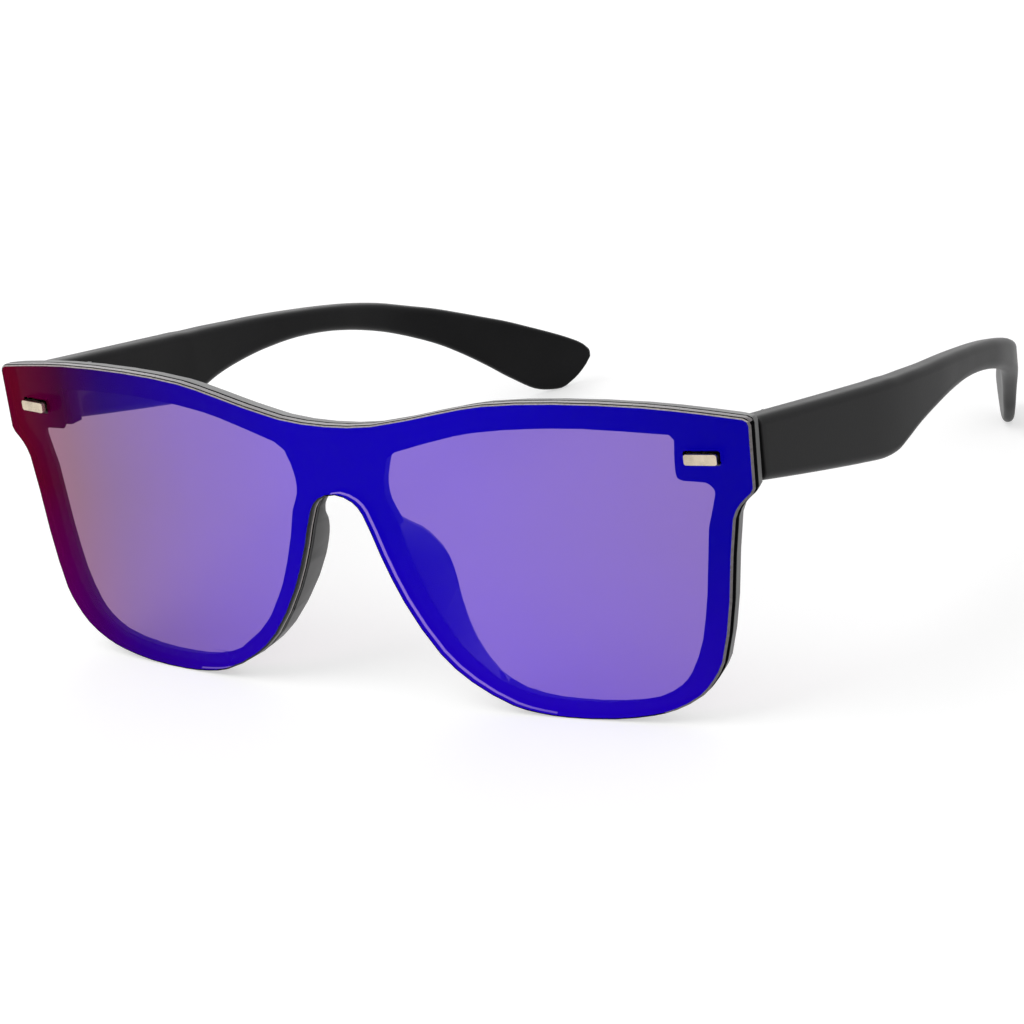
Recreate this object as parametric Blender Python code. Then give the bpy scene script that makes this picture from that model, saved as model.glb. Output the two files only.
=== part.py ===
"""Horn-rimmed sunglasses with a one-piece mirrored lens, as separate pieces.

Lengths are in metres and Z is up. Every piece is drawn in the front's own frame: the middle of
the lens is at the origin, X runs to the wearer's left, Y runs back from the lens and Z runs up
it. The stance empty then tilts and lifts that frame, so that the pair stands on a table on the
lower edge of its lens and on the tips of both arms. Left and right are the wearer's.
"""

import math

import bmesh
import bpy
from mathutils import Matrix, Vector

MM = 0.001

# Clearances: between large pieces, between the small hinge pieces, and past what a cut leaves
FIT_GAP = 0.3 * MM
SMALL_FIT = 0.2 * MM
OVERRUN = 3.0 * MM

# Lens: one sheet across the whole front, bent so that its ends lie behind its middle
LENS_WIDTH = 146.2 * MM
LENS_HEIGHT = 52.4 * MM
LENS_THICKNESS = 1.5 * MM
WRAP_SAG = 7.7 * MM
WRAP_STRIPS = 26

# Front frame: a rim behind the lens, with end pieces and nose pads moulded on
RIM_SEAT_GAP = 0.4 * MM
RIM_INSET = 0.5 * MM
NOTCH_INSET = 0.1 * MM
NOTCH_REACH_SHARE = 0.5
RIM_DEPTH = 2.0 * MM
END_PIECE_DEPTH = 1.7 * MM
EYE_DRAFT = 0.6 * MM
EYE_OUTER_DRAFT = 0.9 * MM
NOSE_PAD_DEPTH = 5.4 * MM
NOSE_PAD_ROOT = 0.3 * MM
NOSE_PAD_LAP = 0.2 * MM
NOSE_PAD_OVERHANG = 3.0 * MM
NOSE_PAD_TAPER = 1.2 * MM
NOSE_PAD_FLARE_SHARE = 0.05
NOSE_PAD_BACK_SHARE = 0.72
NOSE_PAD_STEPS = 3

# Plaques: small metal bars let through the lens into the end pieces on two pegs
PLAQUE_WIDTH = 5.3 * MM
PLAQUE_HEIGHT = 1.75 * MM
PLAQUE_PROUD = 0.9 * MM
PLAQUE_CORNER = 0.35 * MM
PLAQUE_FROM_END = 8.0 * MM
PLAQUE_UP = 3.95 * MM
PEG_SPACING = 3.0 * MM
PEG_RADIUS = 0.4 * MM
PEG_DEPTH = 1.5 * MM

# Hinges: five knuckles on one screw, three on the front's leaf and two on the arm's leaf
KNUCKLE_RADIUS = 1.5 * MM
KNUCKLE_COUNT = 5
HINGE_HEIGHT = 7.0 * MM
HINGE_UP = 4.0 * MM
PIN_RADIUS = 0.5 * MM
PIN_HEAD_RADIUS = 0.95 * MM
PIN_HEAD_HEIGHT = 0.5 * MM
LEAF_THICKNESS = 0.9 * MM
FRONT_LEAF_WIDTH = 5.3 * MM
FRONT_LEAF_SCREW_INSET = 1.4 * MM
FRONT_LEAF_SCREW_SPREAD = 3.7 * MM
BOSS_MARGIN = 0.5 * MM
ARM_LEAF_LENGTH = 10.4 * MM
ARM_LEAF_HEIGHT = 5.2 * MM
ARM_LEAF_SCREW_FIRST = 4.2 * MM
ARM_LEAF_SCREW_SPACING = 4.0 * MM
LEAF_SCREW_RADIUS = 0.4 * MM
LEAF_SCREW_DEPTH = 2.0 * MM
LEAF_SCREW_HEAD_RADIUS = 0.85 * MM
LEAF_SCREW_HEAD_HEIGHT = 0.45 * MM

# Arms: a wide root that steps down to a slim shank and swells again at the ear tip
ARM_LENGTH = 144.0 * MM
ARM_DROP = 38.7 * MM
ARM_HEIGHT = 12.8 * MM
ARM_THICKNESS = 4.5 * MM
ARM_CORNER = 0.9 * MM
ARM_FROM_END = 0.8 * MM
ARM_ROOT_TOP = 9.1 * MM
ARM_STATIONS = 40
HINGE_LAND_INSET = 0.3 * MM

CURVE_STEPS = 8
CORNER_STEPS = 2
ROUND_SIDES = 20
SMALL_ROUND_SIDES = 12

SIDES = {"left": 1, "right": -1}

# Half of the lens's outline, as shares of half its width and of its height, from the top of
# the bridge outwards and back under the lens to the notch for the nose
LENS_TOP_SHARES = (
    (0.0, 0.130), (0.123, 0.141), (0.301, 0.195), (0.404, 0.223), (0.575, 0.237),
    (0.770, 0.231), (0.895, 0.214), (0.986, 0.197),
)
LENS_END_SHARES = ((0.996, 0.189), (1.0, 0.174), (0.996, -0.017))
LENS_BOTTOM_SHARES = (
    (0.989, -0.034), (0.964, -0.067), (0.947, -0.111), (0.921, -0.365), (0.891, -0.557),
    (0.867, -0.616), (0.832, -0.670), (0.774, -0.716), (0.720, -0.739), (0.631, -0.758),
    (0.520, -0.763), (0.451, -0.756), (0.389, -0.738), (0.292, -0.671), (0.222, -0.588),
    (0.145, -0.426), (0.100, -0.281), (0.066, -0.151), (0.044, -0.116), (0.0, -0.097),
)

# The eye opening of the frame, in the same shares, in runs that meet at corners
EYE_TOP_SHARES = (
    (0.162, 0.048), (0.315, 0.109), (0.393, 0.128), (0.488, 0.141), (0.622, 0.147),
    (0.813, 0.134),
)
EYE_STEP_SHARES = (
    (0.821, 0.120), (0.817, 0.021), (0.821, 0.002), (0.832, -0.006), (0.880, -0.010),
    (0.892, -0.021), (0.898, -0.036), (0.896, -0.055), (0.877, -0.147),
)
EYE_LOWER_SHARES = (
    (0.858, -0.353), (0.837, -0.500), (0.806, -0.602), (0.780, -0.645), (0.728, -0.686),
    (0.624, -0.711), (0.520, -0.715), (0.439, -0.706), (0.352, -0.667), (0.268, -0.571),
    (0.231, -0.498), (0.198, -0.416), (0.157, -0.261), (0.140, -0.170), (0.122, -0.116),
    (0.119, -0.069), (0.127, -0.017), (0.138, 0.025),
)

# Nose pads: share of the lens's height below the origin, and share of the pads' full depth
NOSE_PAD_SHARES = (
    (-0.125, 0.02), (-0.165, 0.12), (-0.205, 0.44), (-0.255, 0.84), (-0.330, 1.0),
    (-0.400, 0.95), (-0.470, 0.82), (-0.540, 0.66), (-0.600, 0.48), (-0.650, 0.29),
    (-0.690, 0.10),
)

# Arms: share of the length, share of the whole drop of the top edge, share of the full height
ARM_PROFILE_SHARES = (
    (0.0, 0.0, 0.803), (0.067, 0.043, 0.863), (0.137, 0.088, 0.921), (0.211, 0.135, 0.977),
    (0.262, 0.167, 1.005), (0.286, 0.181, 0.98), (0.307, 0.196, 0.899), (0.347, 0.218, 0.745),
    (0.395, 0.247, 0.607), (0.451, 0.279, 0.495), (0.516, 0.322, 0.412), (0.572, 0.363, 0.397),
    (0.627, 0.41, 0.42), (0.68, 0.465, 0.457), (0.726, 0.523, 0.5), (0.769, 0.578, 0.578),
    (0.806, 0.633, 0.678), (0.842, 0.689, 0.806), (0.876, 0.742, 0.944), (0.911, 0.804, 1.023),
    (0.944, 0.864, 0.935), (0.97, 0.915, 0.702), (0.991, 0.964, 0.382), (1.0, 1.0, 0.154),
)

# Arms seen from above: share of the length, and how far the arm is turned inwards, in degrees
ARM_HEADING_SHARES = (
    (0.0, -3.5), (0.228, -2.3), (0.439, 6.9), (0.615, 7.9), (0.68, 14.0), (0.74, 26.0),
    (0.80, 29.3), (0.87, 29.5), (0.94, 32.5), (1.0, 31.5),
)
ARM_THICKNESS_SHARES = ((0.0, 1.0), (0.3, 1.1), (0.6, 0.91), (0.85, 0.54), (1.0, 0.32))


def wrap(x):
    """How far the front of the lens lies behind its middle, at a distance x from it."""
    half_width = LENS_WIDTH / 2
    return WRAP_SAG * (x / half_width) ** 2


def wrap_turn(x):
    """The angle by which the wrapped front turns away from the middle at x."""
    half_width = LENS_WIDTH / 2
    return math.atan(2 * WRAP_SAG * x / half_width ** 2)


def curve_through(points, steps):
    """Points along a smooth curve through the given ones, steps to each span."""
    first = [2 * a - b for a, b in zip(points[0], points[1])]
    last = [2 * a - b for a, b in zip(points[-1], points[-2])]
    knots = [Vector(first)] + [Vector(p) for p in points] + [Vector(last)]
    curve = []
    for i in range(1, len(knots) - 2):
        p0, p1, p2, p3 = knots[i - 1:i + 3]
        t1 = math.sqrt((p1 - p0).length)
        t2 = t1 + math.sqrt((p2 - p1).length)
        t3 = t2 + math.sqrt((p3 - p2).length)
        for step in range(steps):
            t = t1 + (t2 - t1) * step / steps
            a1 = p0.lerp(p1, t / t1)
            a2 = p1.lerp(p2, (t - t1) / (t2 - t1))
            a3 = p2.lerp(p3, (t - t2) / (t3 - t2))
            b1 = a1.lerp(a2, t / t2)
            b2 = a2.lerp(a3, (t - t1) / (t3 - t1))
            curve.append(b1.lerp(b2, (t - t1) / (t2 - t1)))
    curve.append(knots[-2])
    return curve


def value_at(rows, share):
    """The second value of a table at a share of the length, straight between its rows."""
    for a, b in zip(rows, rows[1:]):
        if b[0] >= share:
            return a[1] + (b[1] - a[1]) * (share - a[0]) / (b[0] - a[0])
    return rows[-1][1]


def sized(shares):
    """Outline shares as real places on the front."""
    return [Vector((x * LENS_WIDTH / 2, z * LENS_HEIGHT)) for x, z in shares]


def mirrored(points):
    """The same points on the wearer's right, in the opposite order."""
    return [Vector((-p.x, p.y)) for p in reversed(points)]


def lens_outline():
    """The closed outline of the lens, clockwise from the top right-hand corner."""
    top = sized(LENS_TOP_SHARES)
    end = sized(LENS_END_SHARES)
    bottom = sized(LENS_BOTTOM_SHARES)
    top_run = curve_through(mirrored(top)[:-1] + top, 2)
    bottom_run = curve_through(bottom + mirrored(bottom)[1:], 2)
    return top_run + end + bottom_run + mirrored(end)


def frame_outline():
    """The rim's outline: inside the lens's, but nearly level with it round the nose."""
    lens = lens_outline()
    reach = NOTCH_REACH_SHARE * LENS_WIDTH / 2
    inner = zip(lens, shrunk(lens, RIM_INSET), shrunk(lens, NOTCH_INSET))
    return [level if abs(edge.x) < reach and edge.y < 0 else inset
            for edge, inset, level in inner]


def eye_outline():
    """The closed outline of the wearer's left eye opening, clockwise."""
    top_run = curve_through(sized(EYE_TOP_SHARES), 2)
    step_run = curve_through(sized(EYE_STEP_SHARES), 2)
    lower_run = curve_through(sized(EYE_LOWER_SHARES), 2)
    return top_run + step_run + lower_run


def shrunk(outline, distance):
    """A clockwise outline drawn in by a distance."""
    inner = []
    for i, point in enumerate(outline):
        along = outline[(i + 1) % len(outline)] - outline[i - 1]
        along.normalize()
        inner.append(point + Vector((along.y, -along.x)) * distance)
    return inner


def crossing(outline, height, low, high):
    """Where an outline crosses a height, between two distances from the middle."""
    found = []
    for a, b in zip(outline, outline[1:] + outline[:1]):
        if (a.y - height) * (b.y - height) <= 0 and a.y != b.y:
            x = a.x + (b.x - a.x) * (height - a.y) / (b.y - a.y)
            if low <= x <= high:
                found.append(x)
    return min(found)


def new_object(name, mesh_data):
    """An object of the given bmesh, with its faces pointing out."""
    bmesh.ops.recalc_face_normals(mesh_data, faces=mesh_data.faces)
    mesh = bpy.data.meshes.new(name)
    mesh_data.to_mesh(mesh)
    mesh_data.free()
    piece = bpy.data.objects.new(name, mesh)
    bpy.context.collection.objects.link(piece)
    return piece


def prism(name, corners, sweep):
    """A closed solid: the face through the corners, swept along a vector."""
    solid = bmesh.new()
    face = solid.faces.new([solid.verts.new(corner) for corner in corners])
    swept = bmesh.ops.extrude_face_region(solid, geom=[face])
    moved = [item for item in swept["geom"] if isinstance(item, bmesh.types.BMVert)]
    bmesh.ops.translate(solid, verts=moved, vec=sweep)
    return new_object(name, solid)


def loft(name, rings):
    """A closed solid through rings of equally many corners, capped at both ends."""
    solid = bmesh.new()
    rows = [[solid.verts.new(corner) for corner in ring] for ring in rings]
    count = len(rows[0])
    for row, following in zip(rows, rows[1:]):
        for i in range(count):
            j = (i + 1) % count
            solid.faces.new((row[i], row[j], following[j], following[i]))
    solid.faces.new(rows[0])
    solid.faces.new(rows[-1])
    return new_object(name, solid)


def block(name, low, high):
    """A box between two opposite corners."""
    corners = [(x, low[1], z) for x, z in
               ((low[0], low[2]), (high[0], low[2]), (high[0], high[2]), (low[0], high[2]))]
    return prism(name, corners, Vector((0, high[1] - low[1], 0)))


def rod(name, start, end, radius, sides):
    """A cylinder from one point to another."""
    axis = Vector(end) - Vector(start)
    solid = bmesh.new()
    bmesh.ops.create_cone(solid, cap_ends=True, segments=sides, radius1=radius,
                          radius2=radius, depth=axis.length)
    turn = axis.to_track_quat("Z", "Y").to_matrix().to_4x4()
    place = Matrix.Translation(Vector(start) + axis / 2) @ turn
    bmesh.ops.transform(solid, matrix=place, verts=solid.verts)
    return new_object(name, solid)


def combine(piece, tools, operation):
    """Join tools to a piece or cut them from it, and keep only the result."""
    for tool in tools:
        boolean = piece.modifiers.new(tool.name, "BOOLEAN")
        boolean.operation = operation
        boolean.object = tool
        boolean.solver = "EXACT"
    depsgraph = bpy.context.evaluated_depsgraph_get()
    result = bpy.data.meshes.new_from_object(piece.evaluated_get(depsgraph))
    result.name = piece.name
    piece.modifiers.clear()
    piece.data = result
    for tool in tools:
        bpy.data.objects.remove(tool)
    return piece


def material(name, colour, roughness, metallic):
    """A plain finish."""
    finish = bpy.data.materials.new(name)
    finish.use_nodes = True
    shader = finish.node_tree.nodes["Principled BSDF"]
    shader.inputs["Base Color"].default_value = (*colour, 1)
    shader.inputs["Roughness"].default_value = roughness
    shader.inputs["Metallic"].default_value = metallic
    return finish


def finish_piece(piece, finish, parent, origin):
    """Give a piece its finish and hang it on its parent, with its origin where told."""
    piece.data.materials.clear()
    piece.data.materials.append(finish)
    piece.data.transform(Matrix.Translation(-origin))
    piece.data.shade_smooth()
    piece.data.set_sharp_from_angle(angle=math.radians(30))
    piece.parent = parent
    return piece


def front_slab(name, front_depth, back_depth, flat_back):
    """The wrapped sheet between two depths behind the lens, cut flat at its ends."""
    half = LENS_WIDTH / 2 + OVERRUN
    places = [half * (2 * i / WRAP_STRIPS - 1) for i in range(WRAP_STRIPS + 1)]
    height = LENS_HEIGHT + OVERRUN
    front = [(x, wrap(x) + front_depth, -height) for x in places]
    back = [(x, min(wrap(x) + back_depth, flat_back), -height) for x in reversed(places)]
    return prism(name, front + back, Vector((0, 0, 2 * height)))


def front_prism(name, outline, front, back):
    """A flat outline on the front, swept from one depth to another."""
    corners = [(p.x, front, p.y) for p in outline]
    return prism(name, corners, Vector((0, back - front, 0)))


def end_piece_back():
    """The flat plane behind both end pieces, which the arms close against."""
    return WRAP_SAG + LENS_THICKNESS + RIM_SEAT_GAP + END_PIECE_DEPTH


def arm_face():
    """How far an arm's outer face stands from the middle at its root."""
    return LENS_WIDTH / 2 - ARM_FROM_END


def hinge_axis(side):
    """The middle of a hinge's pin."""
    leaf_front = end_piece_back() + FIT_GAP
    x = arm_face() - ARM_THICKNESS - HINGE_LAND_INSET - FIT_GAP - KNUCKLE_RADIUS
    return Vector((side * x, leaf_front + KNUCKLE_RADIUS, HINGE_UP))


def plaque_place(side):
    """The middle of a plaque's front face and the direction straight into the lens there."""
    x = side * (LENS_WIDTH / 2 - PLAQUE_FROM_END)
    turn = wrap_turn(x)
    inwards = Vector((-math.sin(turn), math.cos(turn), 0))
    face = Vector((x, wrap(x), PLAQUE_UP)) - inwards * PLAQUE_PROUD
    return face, inwards


def rounded_bar(name, side, margin, start, end):
    """A plaque's bar, grown by a margin, between two depths behind its front face."""
    face, inwards = plaque_place(side)
    across = Vector((inwards.y, -inwards.x, 0))
    half_width = PLAQUE_WIDTH / 2 + margin - PLAQUE_CORNER
    half_height = PLAQUE_HEIGHT / 2 + margin - PLAQUE_CORNER
    corners = []
    for quarter, (u, v) in enumerate(((1, 1), (-1, 1), (-1, -1), (1, -1))):
        for step in range(CORNER_STEPS + 1):
            angle = math.pi / 2 * (quarter + step / CORNER_STEPS)
            out = u * half_width + PLAQUE_CORNER * math.cos(angle)
            up = v * half_height + PLAQUE_CORNER * math.sin(angle)
            corners.append(face + inwards * start + across * out + Vector((0, 0, up)))
    return prism(name, corners, inwards * (end - start))


def peg_rods(side, radius, start, end):
    """The two pegs behind a plaque, or the holes for them."""
    face, inwards = plaque_place(side)
    across = Vector((inwards.y, -inwards.x, 0))
    rods = []
    for half in (-1, 1):
        foot = face + across * half * PEG_SPACING / 2
        rods.append(rod("peg", foot + inwards * start, foot + inwards * end, radius,
                        SMALL_ROUND_SIDES))
    return rods


def plaque_depth():
    """How thick a plaque's bar is: from its proud face nearly to the frame behind the lens."""
    return PLAQUE_PROUD + LENS_THICKNESS + RIM_SEAT_GAP - FIT_GAP


def build_lens(finish, parent):
    """The one-piece lens, with a slot for each plaque."""
    outline = lens_outline()
    back = WRAP_SAG + LENS_THICKNESS + OVERRUN
    lens = front_prism("shield_lens", outline, -OVERRUN, back)
    slab = front_slab("lens_slab", 0, LENS_THICKNESS, back + OVERRUN)
    combine(lens, [slab], "INTERSECT")
    slots = [rounded_bar("slot", side, FIT_GAP, -OVERRUN, plaque_depth() + OVERRUN)
             for side in SIDES.values()]
    combine(lens, slots, "DIFFERENCE")
    return finish_piece(lens, finish, parent, Vector((0, 0, 0)))


def nose_pad(side, rim, eye):
    """A pad moulded on the rim beside the nose, deepest and widest at its middle."""
    rings = []
    rim_front = LENS_THICKNESS + RIM_SEAT_GAP + NOSE_PAD_ROOT
    for height_share, depth_share in curve_through(NOSE_PAD_SHARES, NOSE_PAD_STEPS):
        z = height_share * LENS_HEIGHT
        near = crossing(rim, z, 0, LENS_WIDTH / 4) - NOSE_PAD_LAP
        far = crossing(eye, z, near + NOSE_PAD_LAP, LENS_WIDTH / 4)
        depth = RIM_DEPTH + depth_share * NOSE_PAD_DEPTH
        near_back = near + NOSE_PAD_FLARE_SHARE * depth
        taper = NOSE_PAD_TAPER * (1 - depth_share)
        far_back = far + NOSE_PAD_OVERHANG * depth_share ** 3 - taper
        margin = (far_back - near_back) / 4
        root = wrap(near) + rim_front
        shoulder = root + NOSE_PAD_BACK_SHARE * depth
        back = root + depth
        places = ((near, root), (near_back, shoulder), (near_back + margin, back),
                  (far_back - margin, back), (far_back, shoulder), (far, root))
        rings.append([(side * x, y, z) for x, y in places])
    return loft("nose_pad", rings)


def eye_cutter(name, outline):
    """A cutter for an eye opening, wider behind the frame than in front of it."""
    front = LENS_THICKNESS + RIM_SEAT_GAP
    reach = max(abs(p.x) for p in outline)
    wide = [Vector((p.x + EYE_OUTER_DRAFT * p.x / reach, p.y))
            for p in shrunk(outline, -EYE_DRAFT)]
    clear = end_piece_back() + OVERRUN
    rings = [[(p.x, -OVERRUN, p.y) for p in outline],
             [(p.x, wrap(p.x) + front, p.y) for p in outline],
             [(p.x, wrap(p.x) + front + RIM_DEPTH, p.y) for p in wide],
             [(p.x, clear, p.y) for p in wide]]
    return loft(name, rings)


def hinge_boss(side):
    """A flat land on the back of an end piece, which carries the front's hinge leaf."""
    axis = hinge_axis(1)
    low_x = axis.x - FRONT_LEAF_WIDTH - BOSS_MARGIN
    high_x = axis.x + KNUCKLE_RADIUS
    half_height = HINGE_HEIGHT / 2 + BOSS_MARGIN
    front = wrap(high_x) + LENS_THICKNESS + RIM_SEAT_GAP + FIT_GAP
    ends = sorted((side * low_x, side * high_x))
    low = (ends[0], front, HINGE_UP - half_height)
    high = (ends[1], end_piece_back(), HINGE_UP + half_height)
    return block("hinge_boss", low, high)


def front_leaf_screws(side):
    """Where the front leaf's two screws enter the end piece, by name."""
    axis = hinge_axis(side)
    x = axis.x - side * (FRONT_LEAF_WIDTH - FRONT_LEAF_SCREW_INSET)
    y = end_piece_back()
    half = FRONT_LEAF_SCREW_SPREAD / 2
    return {"upper": Vector((x, y, HINGE_UP + half)),
            "lower": Vector((x, y, HINGE_UP - half))}


def build_frame(finish, parent):
    """The front frame: rim, end pieces, nose pads, and holes for pegs and screws."""
    outline = frame_outline()
    eye = eye_outline()
    back = end_piece_back()
    frame = front_prism("front_frame", outline, -OVERRUN, back + OVERRUN)
    front_depth = LENS_THICKNESS + RIM_SEAT_GAP
    slab = front_slab("frame_slab", front_depth, front_depth + RIM_DEPTH, back)
    combine(frame, [slab], "INTERSECT")
    eyes = [eye_cutter("left_eye", eye), eye_cutter("right_eye", mirrored(eye))]
    combine(frame, eyes, "DIFFERENCE")
    bosses = [hinge_boss(side) for side in SIDES.values()]
    pads = [nose_pad(side, outline, eye) for side in SIDES.values()]
    combine(frame, bosses + pads, "UNION")
    holes = []
    for side in SIDES.values():
        holes += peg_rods(side, PEG_RADIUS + SMALL_FIT, 0, plaque_depth() + PEG_DEPTH
                          + SMALL_FIT)
        for place in front_leaf_screws(side).values():
            depth = Vector((0, LEAF_SCREW_DEPTH + SMALL_FIT, 0))
            holes.append(rod("screw_hole", place + Vector((0, OVERRUN, 0)), place - depth,
                             LEAF_SCREW_RADIUS + SMALL_FIT, SMALL_ROUND_SIDES))
    combine(frame, holes, "DIFFERENCE")
    return finish_piece(frame, finish, parent, Vector((0, 0, 0)))


def build_plaque(name, side, finish, parent):
    """A plaque: a bar with two pegs behind it."""
    plaque = rounded_bar(name, side, 0, 0, plaque_depth())
    pegs = peg_rods(side, PEG_RADIUS, plaque_depth() / 2, plaque_depth() + PEG_DEPTH)
    combine(plaque, pegs, "UNION")
    return finish_piece(plaque, finish, parent, Vector((0, 0, 0)))


def arc(centre, start, end, steps):
    """Points on a knuckle's round, between two angles in degrees."""
    points = []
    for step in range(steps + 1):
        angle = math.radians(start + (end - start) * step / steps)
        points.append((centre.x + KNUCKLE_RADIUS * math.cos(angle),
                       centre.y + KNUCKLE_RADIUS * math.sin(angle)))
    return points


def knuckle_bands(first):
    """The lowest and highest level of every second knuckle, from the first or the second."""
    height = (HINGE_HEIGHT - (KNUCKLE_COUNT - 1) * SMALL_FIT) / KNUCKLE_COUNT
    bottom = HINGE_UP - HINGE_HEIGHT / 2
    bands = []
    for number in range(first, KNUCKLE_COUNT, 2):
        low = bottom + number * (height + SMALL_FIT)
        bands.append((low, low + height))
    return bands


def leaf(name, side, profile, cuts):
    """A hinge leaf: its profile seen from above, swept up, less the cuts and the pin hole."""
    bottom = HINGE_UP - HINGE_HEIGHT / 2
    corners = [(side * x, y, bottom) for x, y in profile]
    piece = prism(name, corners, Vector((0, 0, HINGE_HEIGHT)))
    boxes = []
    for low, high in cuts:
        ends = sorted((side * low[0], side * high[0]))
        boxes.append(block("cut", (ends[0], low[1], low[2]), (ends[1], high[1], high[2])))
    combine(piece, boxes, "DIFFERENCE")
    axis = hinge_axis(side)
    reach = Vector((0, 0, HINGE_HEIGHT / 2 + OVERRUN))
    bore = rod("bore", axis - reach, axis + reach, PIN_RADIUS + SMALL_FIT,
               SMALL_ROUND_SIDES)
    return combine(piece, [bore], "DIFFERENCE")


def screw_holes(places, inwards):
    """Clearance holes through a leaf for its screws."""
    return [rod("hole", place - inwards * OVERRUN, place + inwards * OVERRUN,
                LEAF_SCREW_RADIUS + SMALL_FIT, SMALL_ROUND_SIDES) for place in places]


def build_front_leaf(name, side, finish, parent):
    """The front's hinge leaf: a plate on the end piece with three knuckles."""
    axis = hinge_axis(1)
    plate_front = axis.y - KNUCKLE_RADIUS
    plate_back = plate_front + LEAF_THICKNESS
    meet = 180 + math.degrees(math.asin((axis.y - plate_back) / KNUCKLE_RADIUS))
    inner = axis.x - FRONT_LEAF_WIDTH
    profile = [(inner, plate_front)] + arc(axis, -90, meet, ROUND_SIDES)
    profile.append((inner, plate_back))
    cuts = []
    for low, high in knuckle_bands(1):
        clear_x = axis.x - KNUCKLE_RADIUS - SMALL_FIT
        cuts.append(((clear_x, plate_front - OVERRUN, low - SMALL_FIT),
                     (axis.x + OVERRUN, axis.y + OVERRUN, high + SMALL_FIT)))
    piece = leaf(name, side, profile, cuts)
    backwards = Vector((0, 1, 0))
    combine(piece, screw_holes(front_leaf_screws(side).values(), backwards), "DIFFERENCE")
    return finish_piece(piece, finish, parent, Vector((0, 0, 0)))


def arm_leaf_screws(side):
    """Where the arm leaf's two screws enter the arm, by name."""
    axis = hinge_axis(side)
    x = axis.x + side * (KNUCKLE_RADIUS + FIT_GAP)
    rear = ARM_LEAF_SCREW_FIRST + ARM_LEAF_SCREW_SPACING
    z = arm_leaf_middle()
    return {"front": Vector((x, axis.y + ARM_LEAF_SCREW_FIRST, z)),
            "rear": Vector((x, axis.y + rear, z))}


def arm_leaf_middle():
    """The middle height of the arm's hinge leaf behind its knuckles."""
    return HINGE_UP - (HINGE_HEIGHT - ARM_LEAF_HEIGHT) / 4


def build_arm_leaf(name, side, finish, parent):
    """The arm's hinge leaf: a plate on the arm's inner side with two knuckles."""
    axis = hinge_axis(1)
    plate_out = axis.x + KNUCKLE_RADIUS
    plate_in = plate_out - LEAF_THICKNESS
    rear = axis.y + ARM_LEAF_LENGTH
    meet = math.degrees(math.acos((plate_in - axis.x) / KNUCKLE_RADIUS))
    profile = arc(axis, meet, 360, ROUND_SIDES) + [(plate_out, rear), (plate_in, rear)]
    clear_y = axis.y + KNUCKLE_RADIUS + SMALL_FIT
    cuts = []
    for low, high in knuckle_bands(0):
        cuts.append(((axis.x - 2 * KNUCKLE_RADIUS, axis.y - OVERRUN, low - SMALL_FIT),
                     (plate_out + OVERRUN, clear_y, high + SMALL_FIT)))
    middle = arm_leaf_middle()
    for direction in (-1, 1):
        edge = middle + direction * ARM_LEAF_HEIGHT / 2
        levels = sorted((edge, middle + direction * (HINGE_HEIGHT + OVERRUN)))
        cuts.append(((plate_in - OVERRUN, clear_y - SMALL_FIT / 2, levels[0]),
                     (plate_out + OVERRUN, rear + OVERRUN, levels[1])))
    piece = leaf(name, side, profile, cuts)
    outwards = Vector((side, 0, 0))
    combine(piece, screw_holes(arm_leaf_screws(side).values(), outwards), "DIFFERENCE")
    return finish_piece(piece, finish, parent, hinge_axis(side))


def build_leaf_screw(name, place, inwards, finish, parent, origin):
    """A small screw through a leaf, whose shank ends inside what the leaf lies on."""
    head_foot = place - inwards * (FIT_GAP + LEAF_THICKNESS + SMALL_FIT)
    screw = rod(name, head_foot - inwards * LEAF_SCREW_HEAD_HEIGHT, head_foot,
                LEAF_SCREW_HEAD_RADIUS, SMALL_ROUND_SIDES)
    shank = rod("shank", head_foot - inwards * LEAF_SCREW_HEAD_HEIGHT / 2,
                place + inwards * LEAF_SCREW_DEPTH, LEAF_SCREW_RADIUS, SMALL_ROUND_SIDES)
    combine(screw, [shank], "UNION")
    return finish_piece(screw, finish, parent, origin)


def build_hinge_screw(name, side, finish, parent):
    """The screw that is a hinge's pin, with its head on top."""
    axis = hinge_axis(side)
    top = axis + Vector((0, 0, HINGE_HEIGHT / 2 + SMALL_FIT))
    bottom = axis - Vector((0, 0, HINGE_HEIGHT / 2))
    head_top = top + Vector((0, 0, PIN_HEAD_HEIGHT))
    screw = rod(name, top, head_top, PIN_HEAD_RADIUS, SMALL_ROUND_SIDES)
    shank = rod("shank", bottom, (top + head_top) / 2, PIN_RADIUS, SMALL_ROUND_SIDES)
    combine(screw, [shank], "UNION")
    return finish_piece(screw, finish, parent, Vector((0, 0, 0)))


def arm_path():
    """Stations along the outer face of the left arm: place, heading and share of length."""
    fine_steps = CURVE_STEPS * ARM_STATIONS
    step_length = ARM_LENGTH / fine_steps
    place = Vector((arm_face(), end_piece_back() + FIT_GAP))
    stations = []
    for step in range(fine_steps + 1):
        share = step / fine_steps
        heading = math.radians(value_at(ARM_HEADING_SHARES, share))
        if step % CURVE_STEPS == 0:
            stations.append((place.copy(), heading, share))
        place += Vector((-math.sin(heading), math.cos(heading))) * step_length
    return stations


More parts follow.
